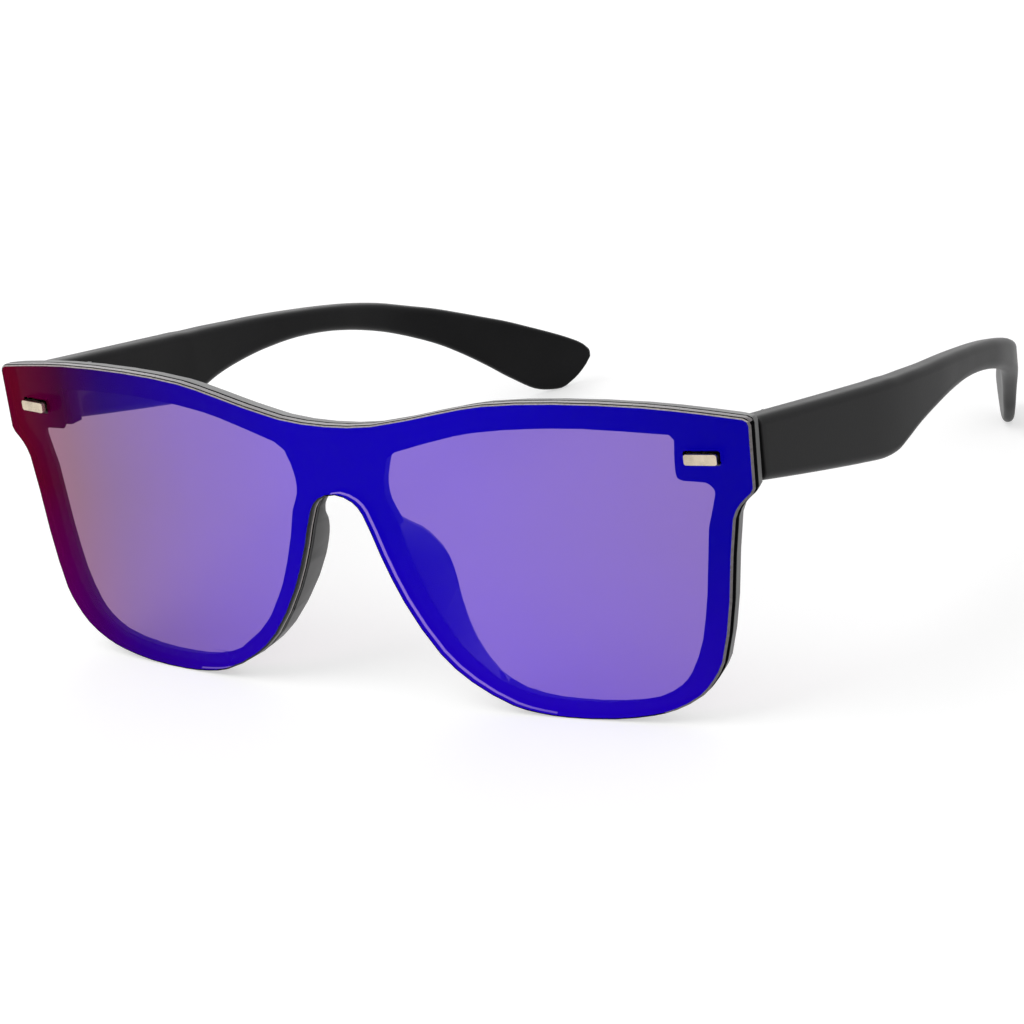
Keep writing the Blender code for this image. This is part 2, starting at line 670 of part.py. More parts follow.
def arm_ring(place, heading, share, side):
    """The rounded section of an arm at one station."""
    drops = curve_through([row[:2] for row in ARM_PROFILE_SHARES], CURVE_STEPS)
    heights = curve_through([row[::2] for row in ARM_PROFILE_SHARES], CURVE_STEPS)
    top = ARM_ROOT_TOP - ARM_DROP * value_at(drops, share)
    height = ARM_HEIGHT * value_at(heights, share)
    thickness = ARM_THICKNESS * value_at(ARM_THICKNESS_SHARES, share)
    corner = min(ARM_CORNER, height / 3, thickness / 3)
    inwards = Vector((-math.cos(heading), -math.sin(heading)))
    middle = place + inwards * thickness / 2
    ring = []
    for quarter, (u, v) in enumerate(((1, 1), (-1, 1), (-1, -1), (1, -1))):
        for step in range(CORNER_STEPS + 1):
            angle = math.pi / 2 * (quarter + step / CORNER_STEPS)
            out = u * (thickness / 2 - corner) + corner * math.cos(angle)
            up = v * (height / 2 - corner) + corner * math.sin(angle)
            spot = middle - inwards * out
            ring.append((side * spot.x, spot.y, top - height / 2 + up))
    return ring


def build_arm(name, side, finish, parent):
    """An arm: its lofted body, a flat land for its hinge leaf, and two screw holes."""
    axis = hinge_axis(side)
    arm = loft(name, [arm_ring(*station, side) for station in arm_path()])
    land_x = abs(axis.x) + KNUCKLE_RADIUS + FIT_GAP
    ends = sorted((side * land_x, side * (land_x + ARM_THICKNESS / 2)))
    half_height = ARM_LEAF_HEIGHT / 2 + BOSS_MARGIN / 2
    front = end_piece_back() + FIT_GAP
    rear = axis.y + ARM_LEAF_LENGTH + BOSS_MARGIN
    middle = arm_leaf_middle()
    land = block("land", (ends[0], front, middle - half_height),
                 (ends[1], rear, middle + half_height))
    combine(arm, [land], "UNION")
    outwards = Vector((side, 0, 0))
    holes = []
    for place in arm_leaf_screws(side).values():
        holes.append(rod("hole", place - outwards * OVERRUN,
                         place + outwards * (LEAF_SCREW_DEPTH + SMALL_FIT),
                         LEAF_SCREW_RADIUS + SMALL_FIT, SMALL_ROUND_SIDES))
    combine(arm, holes, "DIFFERENCE")
    return finish_piece(arm, finish, parent, axis)


def empty(name, place, parent):
    """An empty that carries other pieces."""
    holder = bpy.data.objects.new(name, None)
    bpy.context.collection.objects.link(holder)
    holder.empty_display_size = KNUCKLE_RADIUS
    holder.parent = parent
    holder.location = place
    return holder


def build_side(name, side, finishes, stance):
    """Everything that the front carries on one side: plaque, hinge and arm."""
    hinge = empty(f"hinge_{name}", hinge_axis(side), stance)
    build_plaque(f"plaque_{name}", side, finishes["plaque"], stance)
    build_front_leaf(f"hinge_front_leaf_{name}", side, finishes["hinge"], stance)
    build_hinge_screw(f"hinge_screw_{name}", side, finishes["screw"], stance)
    for end, place in front_leaf_screws(side).items():
        build_leaf_screw(f"front_leaf_screw_{name}_{end}", place, Vector((0, -1, 0)),
                         finishes["screw"], stance, Vector((0, 0, 0)))
    build_arm(f"temple_{name}", side, finishes["arm"], hinge)
    build_arm_leaf(f"hinge_temple_leaf_{name}", side, finishes["hinge"], hinge)
    for end, place in arm_leaf_screws(side).items():
        build_leaf_screw(f"temple_leaf_screw_{name}_{end}", place, Vector((side, 0, 0)),
                         finishes["screw"], hinge, hinge_axis(side))


def world_corners():
    """Every corner of every piece, where it stands."""
    bpy.context.view_layer.update()
    corners = []
    for piece in bpy.context.collection.objects:
        if piece.type == "MESH":
            corners += [piece.matrix_world @ vertex.co for vertex in piece.data.vertices]
    return corners


def settle(stance):
    """Tilt the pair onto its lens and both ear tips, and centre it over the origin."""
    corners = world_corners()
    tilt = 0.0
    for _ in range(6):
        turn = Matrix.Rotation(-tilt, 3, "X")
        turned = [turn @ corner for corner in corners]
        middle = sum(corner.y for corner in turned) / len(turned)
        front = min((c for c in turned if c.y < middle), key=lambda c: c.z)
        rear = min((c for c in turned if c.y >= middle), key=lambda c: c.z)
        tilt += math.atan2(rear.z - front.z, rear.y - front.y)
    stance.rotation_euler.x = -tilt
    turned = [Matrix.Rotation(-tilt, 3, "X") @ corner for corner in corners]
    depths = [corner.y for corner in turned]
    stance.location = (0, -(min(depths) + max(depths)) / 2, -min(c.z for c in turned))


def main():
    for old in list(bpy.data.objects):
        bpy.data.objects.remove(old)
    finishes = {
        "lens": material("mirrored_lens", (0.011, 0.001, 0.38), 0.08, 0.3),
        "frame": material("matte_black_frame", (0.018, 0.018, 0.019), 0.5, 0),
        "arm": material("matte_black_arm", (0.021, 0.021, 0.022), 0.55, 0),
        "plaque": material("brushed_plaque", (0.62, 0.57, 0.50), 0.3, 1),
        "hinge": material("hinge_steel", (0.06, 0.06, 0.062), 0.4, 1),
        "screw": material("screw_steel", (0.55, 0.55, 0.56), 0.3, 1),
    }
    stance = empty("stance", (0, 0, 0), None)
    build_frame(finishes["frame"], stance)
    build_lens(finishes["lens"], stance)
    for name, side in SIDES.items():
        build_side(name, side, finishes, stance)
    settle(stance)


main()
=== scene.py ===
"""Horn-rimmed sunglasses: the finished pieces, their table, the light and the camera."""

import math

import bmesh
import bpy
from bpy.props import FloatProperty, FloatVectorProperty, IntProperty, PointerProperty
from mathutils import Matrix, Vector
from mathutils.bvhtree import BVHTree


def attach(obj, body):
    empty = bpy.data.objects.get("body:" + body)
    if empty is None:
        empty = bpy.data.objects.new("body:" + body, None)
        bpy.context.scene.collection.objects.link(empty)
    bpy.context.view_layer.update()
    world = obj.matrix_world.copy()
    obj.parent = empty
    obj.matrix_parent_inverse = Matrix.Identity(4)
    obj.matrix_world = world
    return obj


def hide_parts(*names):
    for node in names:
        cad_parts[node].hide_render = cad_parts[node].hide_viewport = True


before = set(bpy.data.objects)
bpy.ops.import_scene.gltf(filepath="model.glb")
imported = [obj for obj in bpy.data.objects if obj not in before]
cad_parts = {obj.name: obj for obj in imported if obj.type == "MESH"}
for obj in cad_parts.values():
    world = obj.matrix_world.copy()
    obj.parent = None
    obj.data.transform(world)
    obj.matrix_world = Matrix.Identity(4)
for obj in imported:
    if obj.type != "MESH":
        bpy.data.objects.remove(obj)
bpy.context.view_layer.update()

bl_info = {
    "name": "Horn-Rimmed Sunglasses",
    "version": (1, 0, 0),
    "blender": (4, 5, 0),
    "location": "View3D > Sidebar > Sunglasses",
    "description": "Builds a pair of sunglasses with a one-piece mirrored lens",
    "category": "Add Mesh",
}

MM = 0.001
SIDES = {"left": 1, "right": -1}

# Meshes: how close two points are to be one, how flat two faces are to be one, what counts as a
# hard edge, and how near a point lies to a level to be on it
SAME_POINT = 0.001 * MM
SAME_FLAT = math.radians(0.3)
HARD_ANGLE = math.radians(38)
SCREW_HARD_ANGLE = math.radians(30)
ON_LEVEL = 0.1 * MM
ON_END = 0.01 * MM

# The front's own frame, tilted and lifted so that the pair stands on the table
STANCE_TURN = math.radians(-1.4904842)
STANCE_PLACE = Vector((0, -74.1518, 40.0612)) * MM
STANCE = Matrix.Translation(STANCE_PLACE) @ Matrix.Rotation(STANCE_TURN, 4, "X")
STANCE_UP = STANCE.to_3x3() @ Vector((0, 0, 1))
STANCE_BACK = STANCE.to_3x3() @ Vector((0, 1, 0))

# Lens: half its width, how far its ends lie behind its middle, its thickness, the painted
# highlight along the back of its edge, its plaque slots, and how close points may lie before it is
# rounded
LENS_HALF_WIDTH = 73.1 * MM
WRAP_SAG = 7.7 * MM
LENS_BACK = 1.5 * MM
PAINTED_LIP_START = 0.85 * MM
PAINTED_LIP_BLUR = 0.05 * MM
SLOT_ENDS = (61.5 * MM, 69.0 * MM)
SLOT_LEVELS = (1.5 * MM, 6.5 * MM)
LENS_POINTS_APART = 0.12 * MM

# Which way a lens face looks, as shares of a whole turn towards that way; they also pick the
# faces of the edge that get painted light and painted highlights
FACE_ON_SHARE = 0.97
TOP_SHARE = 0.5
TOP_BEVEL_SHARE = 0.6
WALL_SHARE = 0.25
SIDE_SHARE = 0.3

# Front frame: where the rim starts and ends behind the wrap, how far from the middle the notch,
# the gap under the lens's edge and the pads' roots reach, and the middle of the left opening
RIM_FRONT = 1.9 * MM
RIM_BACK = 3.9 * MM
NOTCH_REACH = 36.0 * MM
NOTCH_GAP_END = 28.0 * MM
NOTCH_LEAST_SHARE = 0.5
PAD_ROOT = 13.0 * MM
EYE_MIDDLE = (37.0 * MM, -14.5 * MM)
FRONT_POINTS_APART = 0.1 * MM
PAD_START = 0.05 * MM
PAD_BODY = 0.3 * MM
SEAT_LEVEL = 0.02 * MM
SEAT_REACH = 2.0 * MM
SEAT_TURN_SHARE = 0.8
WALL_TURN_SHARE = 0.5
EYE_TURN_SHARE = 0.3

# Mirror film: its colours from the wearer's right to the left, and the painted reflection
# that brightens its lower part
FILM_STOPS = (
    (0.020, (0.116, 0.0050, 0.0030)), (0.103, (0.044, 0.0003, 0.024)),
    (0.172, (0.0150, 0.0003, 0.128)), (0.295, (0.0080, 0.0003, 0.280)),
    (0.445, (0.0050, 0.0003, 0.405)), (0.671, (0.0045, 0.0003, 0.420)),
    (0.951, (0.0020, 0.0003, 0.300)),
)
FILM_PAINTED_REFLECTION = (0.025, 0, 0.2)
FILM_PAINTED_REFLECTION_TOP = 30.0 * MM
WIPE_COLOUR = (0.02, 0.01, 0.4, 1)
WIPE_SHARE = 0.05

# Materials: the refractive index of the moulded plastic and of the lens, and the part of a noise
# pattern's range that holds nearly all of its values
PLASTIC_IOR = 1.5
LENS_IOR = 1.586
NOISE_SPAN = (0.3, 0.7)

# Arms: where each starts, its sizes and steps, and its side view, bend and thickness as shares
ARM_FACE = 72.3 * MM
ARM_FRONT = 11.6 * MM
ARM_LENGTH = 144.0 * MM
ARM_DROP = 38.7 * MM
ARM_HEIGHT = 12.8 * MM
ARM_THICKNESS = 4.5 * MM
ARM_ROOT_TOP = 9.1 * MM
ARM_ROOT_CHAMFER = 0.1 * MM
ARM_STATIONS = 144
ARM_FINE_STEPS = 8
ARM_CORNER_STEPS = 5
ARM_LEAST_SIDES = 2.1
ARM_PROFILE_SHARES = (
    (0.0, 0.0, 0.803), (0.067, 0.043, 0.863), (0.137, 0.088, 0.921), (0.211, 0.135, 0.977),
    (0.262, 0.167, 1.005), (0.286, 0.181, 0.98), (0.307, 0.196, 0.899), (0.347, 0.218, 0.745),
    (0.395, 0.247, 0.607), (0.451, 0.279, 0.495), (0.516, 0.322, 0.412), (0.572, 0.363, 0.397),
    (0.627, 0.41, 0.42), (0.68, 0.465, 0.457), (0.726, 0.523, 0.5), (0.769, 0.578, 0.578),
    (0.806, 0.633, 0.678), (0.842, 0.689, 0.806), (0.876, 0.742, 0.944), (0.911, 0.804, 1.023),
    (0.944, 0.864, 0.935), (0.97, 0.915, 0.702), (0.991, 0.964, 0.382), (1.0, 1.0, 0.154),
)
ARM_HEADING_SHARES = (
    (0.0, -3.5), (0.228, -2.3), (0.439, 6.9), (0.615, 7.9), (0.68, 14.0), (0.74, 26.0),
    (0.80, 29.3), (0.87, 29.5), (0.94, 32.5), (1.0, 31.5),
)
ARM_THICKNESS_SHARES = ((0.0, 1.0), (0.3, 1.1), (0.6, 0.91), (0.85, 0.54), (1.0, 0.32))

# Screws, in head radii: the head's depth and top radius, the slot's length and depth, and how far
# down its length a shank starts; and how the slots are turned from one screw to the next
HEAD_DEPTH_SHARE = 0.52
HEAD_TOP_SHARE = 0.86
SLOT_LENGTH_SHARE = 2.4
SLOT_DEPTH_SHARE = 0.25
SHANK_START_SHARE = 0.06
FIRST_SPIN = 0.4
SPIN_STEP = 0.7

# Lamps: the name, place and power setting of each, and their side; and the table's glow, which
# rises from the first level to the second between two distances from the middle
LAMPS = (
    ("key_lamp", (-0.5, -0.5, 0.9), "key_power"),
    ("fill_lamp", (0.9, -0.5, 0.5), "fill_power"),
    ("back_lamp", (-0.6, 1.0, 0.6), "back_power"),
)
LAMP_SIZE = 0.9
GLOW_REACH = (0.4, 1.5)
GLOW_LEVELS = (0.5, 0.75)

# Camera: where it stands and which way it looks, its lens, and its film's width
CAMERA_PLACE = Matrix((
    (0.839925, -0.077722, 0.537108, 0.322386),
    (0.525987, 0.360322, -0.770393, -0.488181),
    (-0.133655, 0.929584, 0.343525, 0.219624),
    (0.0, 0.0, 0.0, 1.0),
))
CAMERA_LENS_MM = 122.49
CAMERA_FILM_MM = 36
CAMERA_NEAR = 0.01


class LensSettings(bpy.types.PropertyGroup):
    """Sizes and colours of the lens."""
    bevel: FloatProperty(
        name="Edge Bevel", description="Width of the polished bevel round the lens",
        default=0.3 * MM, min=0, unit="LENGTH")
    film_share: FloatProperty(
        name="Film Share", description="Share of the light that the mirror film keeps",
        default=0.45, min=0, max=1, subtype="FACTOR")
    smoke_share: FloatProperty(
        name="Smoke Share", description="Share of the light that the smoke tint keeps",
        default=0.5, min=0, max=1, subtype="FACTOR")
    tint: FloatVectorProperty(
        name="Tint", description="Colour of the light that passes the smoke tint",
        default=(0.91, 0.60, 0.76), min=0, max=1, subtype="COLOR")
    edge: FloatVectorProperty(
        name="Edge Colour", description="Colour of the lens's dark ground edge",
        default=(0.004, 0.004, 0.0045), min=0, max=1, subtype="COLOR")
    # Painted highlight: the pale colour of the front bevels that look up and of the lip on the
    # notch walls
    bare_bevel: FloatVectorProperty(
        name="Bare Bevel Colour", description="Colour of the bevel where the film ends short",
        default=(0.42, 0.38, 0.37), min=0, max=1, subtype="COLOR")
    # Painted light: the lighter colour of the edge's walls that look up and of its front bevels
    # that face the left arm
    painted_light: FloatVectorProperty(
        name="Frosted Edge Colour", description="Colour of the frosted edge along the top",
        default=(0.16, 0.145, 0.15), min=0, max=1, subtype="COLOR")
    # Painted light: the grey of the notch's cut edges that face the left arm, lighter than the
    # rest of the edge
    side: FloatVectorProperty(
        name="Side Edge Colour", description="Colour of the cut edges that face the left arm",
        default=(0.030, 0.030, 0.031), min=0, max=1, subtype="COLOR")


class FrontSettings(bpy.types.PropertyGroup):
    """Sizes and colours of the front frame."""
    rounding: FloatProperty(
        name="Edge Rounding", description="Radius of the moulded edges",
        default=0.15 * MM, min=0, unit="LENGTH")
    seat_fill: FloatProperty(
        name="Seat Fill", description="How far the rim comes forward to seat the lens",
        default=0.3 * MM, min=0, unit="LENGTH")
    notch_fill: FloatProperty(
        name="Notch Seat Fill", description="How far it comes forward round the nose notch",
        default=0.2 * MM, min=0, unit="LENGTH")
    flare_share: FloatProperty(
        name="Seat Flare Share",
        description="How much of the way to the lens's edge the rim fills",
        default=0.95, min=0, max=1, subtype="FACTOR")
    colour: FloatVectorProperty(
        name="Colour", description="Colour of the satin black plastic",
        default=(0.010, 0.010, 0.010), min=0, max=1, subtype="COLOR")
    # Black seat under the lens; the same colour is painted shade on the rim's walls round the
    # lens's edge
    seat: FloatVectorProperty(
        name="Seat Colour", description="Colour of the face that the lens lies on",
        default=(0.005, 0.005, 0.005), min=0, max=1, subtype="COLOR")


class ArmSettings(bpy.types.PropertyGroup):
    """Sizes and colours of the arms."""
    root_gap: FloatProperty(
        name="Root Gap", description="How far an arm's front end is eased back from the front",
        default=0.6 * MM, min=0, unit="LENGTH")
    edge_radius: FloatProperty(
        name="Edge Radius", description="Radius of the arms' long edges",
        default=1.6 * MM, min=0, unit="LENGTH")
    colour: FloatVectorProperty(
        name="Colour", description="Colour of the matte black plastic",
        default=(0.008, 0.008, 0.0085), min=0, max=1, subtype="COLOR")


class MetalSettings(bpy.types.PropertyGroup):
    """Sizes and colours of the plaques, hinges and screws."""
    rounding: FloatProperty(
        name="Edge Rounding", description="Radius of the metal edges",
        default=0.08 * MM, min=0, unit="LENGTH")
    slot_share: FloatProperty(
        name="Slot Share", description="Width of a screw's slot, as a share of its head",
        default=0.24, min=0, max=1, subtype="FACTOR")
    head_sides: IntProperty(
        name="Head Sides", description="Number of sides of a screw's head",
        default=32, min=8)
    plaque: FloatVectorProperty(
        name="Plaque Colour", description="Colour of the champagne plaques",
        default=(0.61, 0.52, 0.40), min=0, max=1, subtype="COLOR")
    hinge: FloatVectorProperty(
        name="Hinge Colour", description="Colour of the black-coated hinges",
        default=(0.06, 0.06, 0.062), min=0, max=1, subtype="COLOR")
    steel: FloatVectorProperty(
        name="Screw Colour", description="Colour of the steel screws",
        default=(0.58, 0.58, 0.59), min=0, max=1, subtype="COLOR")


class StageSettings(bpy.types.PropertyGroup):
    """The table, the light and the world."""
    table_size: FloatProperty(
        name="Table Size", description="Length of each side of the white table",
        default=6.0, min=0, unit="LENGTH")
    key_power: FloatProperty(
        name="Key Lamp", description="Power of the large lamp above on the left",
        default=5.5, min=0, unit="POWER")
    fill_power: FloatProperty(
        name="Fill Lamp", description="Power of the large lamp in front on the right",
        default=2.5, min=0, unit="POWER")
    back_power: FloatProperty(
        name="Back Lamp", description="Power of the large lamp behind",
        default=3.0, min=0, unit="POWER")
    world_level: FloatProperty(
        name="World Level", description="How strongly the white surroundings light the object",
        default=0.5, min=0)


def add(tree, kind, inputs=None, **settings):
    """A node of a tree, with its settings, and its inputs set to values or joined to sockets."""
    node = tree.nodes.new(kind)
    for name, value in settings.items():
        setattr(node, name, value)
    for name, value in (inputs or {}).items():
        if isinstance(value, bpy.types.NodeSocket):
            tree.links.new(value, node.inputs[name])
        else:
            node.inputs[name].default_value = value
    return node


def maths(tree, operation, *values):
    """The result of a Math node on sockets or numbers."""
    return add(tree, "ShaderNodeMath", dict(enumerate(values)), operation=operation).outputs[0]


def vector_maths(tree, operation, *values):
    """The result of a Vector Math node on sockets or vectors."""
    node = add(tree, "ShaderNodeVectorMath", dict(enumerate(values)), operation=operation)
    return node.outputs[0]


def scaled(tree, vector, factor):
    """A vector socket times a number."""
    node = add(tree, "ShaderNodeVectorMath", {0: vector, "Scale": factor}, operation="SCALE")
    return node.outputs[0]


def wrap(x):
    """How far the front of the lens lies behind its middle, at a distance x from it."""
    return WRAP_SAG * (x / LENS_HALF_WIDTH) ** 2


def blank_finish(name):
    """A new material, its tree, its shader and the place on the object."""
    finish = bpy.data.materials.new(name)
    finish.use_nodes = True
    tree = finish.node_tree
    place = add(tree, "ShaderNodeTexCoord").outputs["Object"]
    return finish, tree, tree.nodes["Principled BSDF"], place


def noise(tree, place, scale, detail, roughness):
    """A noise pattern on the object, from 0 to 1."""
    node = add(tree, "ShaderNodeTexNoise", {
        "Vector": place, "Scale": scale, "Detail": detail, "Roughness": roughness})
    return node.outputs["Fac"]


def spread(tree, value, low, high, start, end):
    """A value between low and high, spread to start and end."""
    node = add(tree, "ShaderNodeMapRange", {
        "Value": value, "From Min": low, "From Max": high, "To Min": start, "To Max": end})
    return node.outputs["Result"]


def colour_run(tree, value, stops):
    """A colour that runs through the given stops."""
    node = add(tree, "ShaderNodeValToRGB", {"Fac": value})
    ramp = node.color_ramp
    ramp.interpolation = "LINEAR"
    while len(ramp.elements) < len(stops):
        ramp.elements.new(1)
    for element, (place, colour) in zip(ramp.elements, stops):
        element.position = place
        element.color = (*colour, 1)
    return node.outputs["Color"]


def shades_of(tree, pattern, colour, span, shares):
    """A colour that runs from a darker to a lighter shade along the span of a pattern."""
    stops = [(place, tuple(min(share * channel, 1) for channel in colour))
             for place, share in zip(span, shares)]
    return colour_run(tree, pattern, stops)


def surface(tree, shader, shade, pattern, gloss_span, height, strength, distance):
    """Joins a colour, a roughness that follows a pattern and a raised height to a shader."""
    tree.links.new(shade, shader.inputs["Base Color"])
    rough = spread(tree, pattern, *NOISE_SPAN, *gloss_span)
    tree.links.new(rough, shader.inputs["Roughness"])
    bump = add(tree, "ShaderNodeBump", {
        "Height": height, "Strength": strength, "Distance": distance})
    tree.links.new(bump.outputs["Normal"], shader.inputs["Normal"])


def seen_directly(tree):
    """1 for what the camera sees straight, in a reflection or through glass, else 0."""
    rays = add(tree, "ShaderNodeLightPath")
    return maths(tree, "MAXIMUM", rays.outputs["Is Camera Ray"],
                 maths(tree, "MAXIMUM", rays.outputs["Is Glossy Ray"],
                       rays.outputs["Is Transmission Ray"]))


def moulded_plastic(name, colour, gloss, grain, shine, sheen=0):
    """Black moulded plastic: a fine grain, faint clouding, and rubbed patches that shine more."""
    finish, tree, shader, place = blank_finish(name)
    cloud = noise(tree, place, scale=55, detail=4, roughness=0.55)
    speck = noise(tree, place, scale=2600, detail=2, roughness=0.6)
    tone = maths(tree, "ADD", maths(tree, "MULTIPLY", cloud, 0.75),
                 maths(tree, "MULTIPLY", speck, 0.25))
    shade = shades_of(tree, tone, colour, span=(0.34, 0.66), shares=(0.72, 1.35))
    surface(tree, shader, shade, cloud, (gloss - 0.05, gloss + 0.06), speck,
            strength=grain, distance=0.03 * MM)
    shader.inputs["IOR"].default_value = PLASTIC_IOR
    shader.inputs["Specular IOR Level"].default_value = shine
    shader.inputs["Sheen Weight"].default_value = sheen
    return finish


def drawn_metal(name, colour, gloss, grain, stretch):
    """Metal with fine drawn lines, and a tone that varies a little in faint clouds."""
    finish, tree, shader, place = blank_finish(name)
    lines = add(tree, "ShaderNodeMapping", {"Vector": place, "Scale": stretch})
    streak = noise(tree, lines.outputs["Vector"], scale=1, detail=3, roughness=0.6)
    cloud = noise(tree, place, scale=420, detail=3, roughness=0.5)
    shade = shades_of(tree, cloud, colour, span=(0.33, 0.67), shares=(0.80, 1.12))
    surface(tree, shader, shade, streak, (gloss - 0.06, gloss + 0.08), streak,
            strength=grain, distance=0.02 * MM)
    shader.inputs["Metallic"].default_value = 1
    return finish


def clear_mix(tree, shader, share, passed):
    """Lets part of the light through a surface: share stays on the shader, the rest passes."""
    clear = add(tree, "ShaderNodeBsdfTransparent", {"Color": passed})
    mixed = add(tree, "ShaderNodeMixShader", {0: share, 1: clear.outputs[0],
                                              2: shader.outputs[0]})
    tree.links.new(mixed.outputs[0], tree.nodes["Material Output"].inputs["Surface"])


def mirror_film(settings):
    """The lens's front: a mirror film that runs from dark red to blue, with faint wipe marks,
    and a painted reflection that brightens its lower part.
    """
    finish, tree, shader, place = blank_finish("mirror_film")
    parts = add(tree, "ShaderNodeSeparateXYZ", {0: place})
    along = spread(tree, parts.outputs["X"], -LENS_HALF_WIDTH, LENS_HALF_WIDTH, 0, 1)
    stops = [(place_share, tuple(min(channel / settings.film_share, 1) for channel in colour))
             for place_share, colour in FILM_STOPS]
    film = colour_run(tree, along, stops)
    # Painted reflection: the film is made brighter and bluer towards the bottom
    low = spread(tree, parts.outputs["Z"], 0, FILM_PAINTED_REFLECTION_TOP, 1, 0)
    film = vector_maths(tree, "ADD", film, scaled(tree, FILM_PAINTED_REFLECTION, low))
    wipe = noise(tree, place, scale=70, detail=5, roughness=0.6)
    shade = add(tree, "ShaderNodeMix", {
        "Factor": spread(tree, wipe, *NOISE_SPAN, 0, WIPE_SHARE), "A": film, "B": WIPE_COLOUR
    }, data_type="RGBA")
    ripple = noise(tree, place, scale=35, detail=1, roughness=0.4)
    surface(tree, shader, shade.outputs["Result"], wipe, (0.05, 0.11), ripple,
            strength=0.02, distance=0.2 * MM)
    shader.inputs["Metallic"].default_value = 1
    shader.inputs["Specular Tint"].default_value = (0.45, 0.3, 0.9, 1)
    clear_mix(tree, shader, settings.film_share, (1, 1, 1, 1))
    return finish


def smoke_back(settings):
    """The lens's back: dark smoke polycarbonate, polished, with faint clouding."""
    finish, tree, shader, place = blank_finish("smoke_back")
    cloud = noise(tree, place, scale=60, detail=4, roughness=0.5)
    shade = colour_run(tree, cloud, tuple(zip(
        NOISE_SPAN, ((0.003, 0.003, 0.003), (0.005, 0.004, 0.005)))))
    tree.links.new(shade, shader.inputs["Base Color"])
    tree.links.new(spread(tree, cloud, *NOISE_SPAN, 0.04, 0.09), shader.inputs["Roughness"])
    shader.inputs["IOR"].default_value = LENS_IOR
    shader.inputs["Specular IOR Level"].default_value = 0.1
    clear_mix(tree, shader, settings.smoke_share, (*settings.tint, 1))
    return finish


def ground_edge(name, colour, shine, painted_lip=None):
    """A ground edge of the lens with fine cutter marks, and a painted highlight along its back if
    given.
    """
    finish, tree, shader, place = blank_finish(name)
    marks = noise(tree, place, scale=1800, detail=3, roughness=0.6)
    shade = shades_of(tree, marks, colour, span=(0.35, 0.65), shares=(0.8, 1.2))
    # Painted highlight: a pale stripe near the wall's back edge
    if painted_lip:
        depth = add(tree, "ShaderNodeAttribute", attribute_name="depth").outputs["Fac"]
        shade = add(tree, "ShaderNodeMix", {
            "Factor": spread(tree, depth, PAINTED_LIP_START, PAINTED_LIP_START + PAINTED_LIP_BLUR, 0, 1),
            "A": shade, "B": (*painted_lip, 1)}, data_type="RGBA").outputs["Result"]
    surface(tree, shader, shade, marks, (0.25, 0.42), marks, strength=0.15, distance=0.02 * MM)
    shader.inputs["IOR"].default_value = LENS_IOR
    shader.inputs["Specular IOR Level"].default_value = shine
    return finish


def white_table():
    """The table: white, with a glow that only the camera sees, so that just shadows show on it."""
    finish, tree, shader, place = blank_finish("white_table")
    cloud = noise(tree, place, scale=3, detail=3, roughness=0.5)
    pale = colour_run(tree, cloud, tuple(zip(
        NOISE_SPAN, ((0.59, 0.59, 0.59), (0.61, 0.61, 0.61)))))
    tree.links.new(pale, shader.inputs["Base Color"])
    shader.inputs["Roughness"].default_value = 0.9
    away = add(tree, "ShaderNodeVectorMath", {0: place}, operation="LENGTH").outputs["Value"]
    level = spread(tree, away, *GLOW_REACH, *GLOW_LEVELS)
    glow = add(tree, "ShaderNodeEmission", {
        "Strength": maths(tree, "MULTIPLY", seen_directly(tree), level)})
    both = add(tree, "ShaderNodeAddShader", {0: shader.outputs[0], 1: glow.outputs[0]})
    tree.links.new(both.outputs[0], tree.nodes["Material Output"].inputs["Surface"])
    return finish


def white_world(level):
    """White surroundings: seen at full white, and lighting the object at the given level."""
    world = bpy.data.worlds.new("white_tent")
    world.use_nodes = True
    tree = world.node_tree
    strength = spread(tree, seen_directly(tree), 0, 1, level, 1)
    shade = tree.nodes["Background"]
    shade.inputs["Color"].default_value = (1, 1, 1, 1)
    tree.links.new(strength, shade.inputs["Strength"])
    return world


def new_piece(name, mesh):
    """A new object of a mesh, at the origin."""
    piece = bpy.data.objects.new(name, mesh)
    bpy.context.scene.collection.objects.link(piece)
    return piece


def made_plain(piece):
    """Turns a piece's modifiers into plain mesh."""
    bpy.context.view_layer.update()
    solved = piece.evaluated_get(bpy.context.evaluated_depsgraph_get())
    mesh = bpy.data.meshes.new_from_object(solved)
    mesh.name = piece.name
    piece.modifiers.clear()
    piece.data = mesh
    return piece


def merged_copy(name, node, finish, apart=SAME_POINT, weigh=None):
    """A copy of a CAD node with its loose triangles merged and bevel weights on hard edges."""
    solid = bmesh.new()
    solid.from_mesh(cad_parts[node].data)
    bmesh.ops.remove_doubles(solid, verts=solid.verts, dist=SAME_POINT)
    bmesh.ops.dissolve_limit(solid, angle_limit=SAME_FLAT, verts=solid.verts,
                             edges=solid.edges)
    bmesh.ops.remove_doubles(solid, verts=solid.verts, dist=apart)
    if weigh:
        weights = solid.edges.layers.float.new("bevel_weight_edge")
        for edge in solid.edges:
            if edge.calc_face_angle(0) > HARD_ANGLE:
                edge[weights] = weigh(edge)
    mesh = bpy.data.meshes.new(name)
    solid.to_mesh(mesh)
    solid.free()
    mesh.shade_smooth()
    mesh.materials.clear()
    mesh.materials.append(finish)
    return new_piece(name, mesh)


def rounded(piece, width, limit):
    """Rounds a piece's hard edges, all alike or by their bevel weights."""
    bevel = piece.modifiers.new("rounding", "BEVEL")
    bevel.width = width
    bevel.segments = 2
    bevel.limit_method = limit
    bevel.angle_limit = HARD_ANGLE
    bevel.use_clamp_overlap = False
    piece.modifiers.new("even_shading", "WEIGHTED_NORMAL").keep_sharp = True
    return made_plain(piece)


def on_front(place):
    """A place on the front in its own frame: x, how far it is behind the wrap, and z."""
    x, depth, z = STANCE.inverted() @ place
    return x, depth - wrap(x), z


def finished(piece, body, slot, *nodes):
    """Hangs a piece on its body, in place of its CAD nodes. The slot is not used."""
    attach(piece, body)
    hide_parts(*nodes)
    return piece


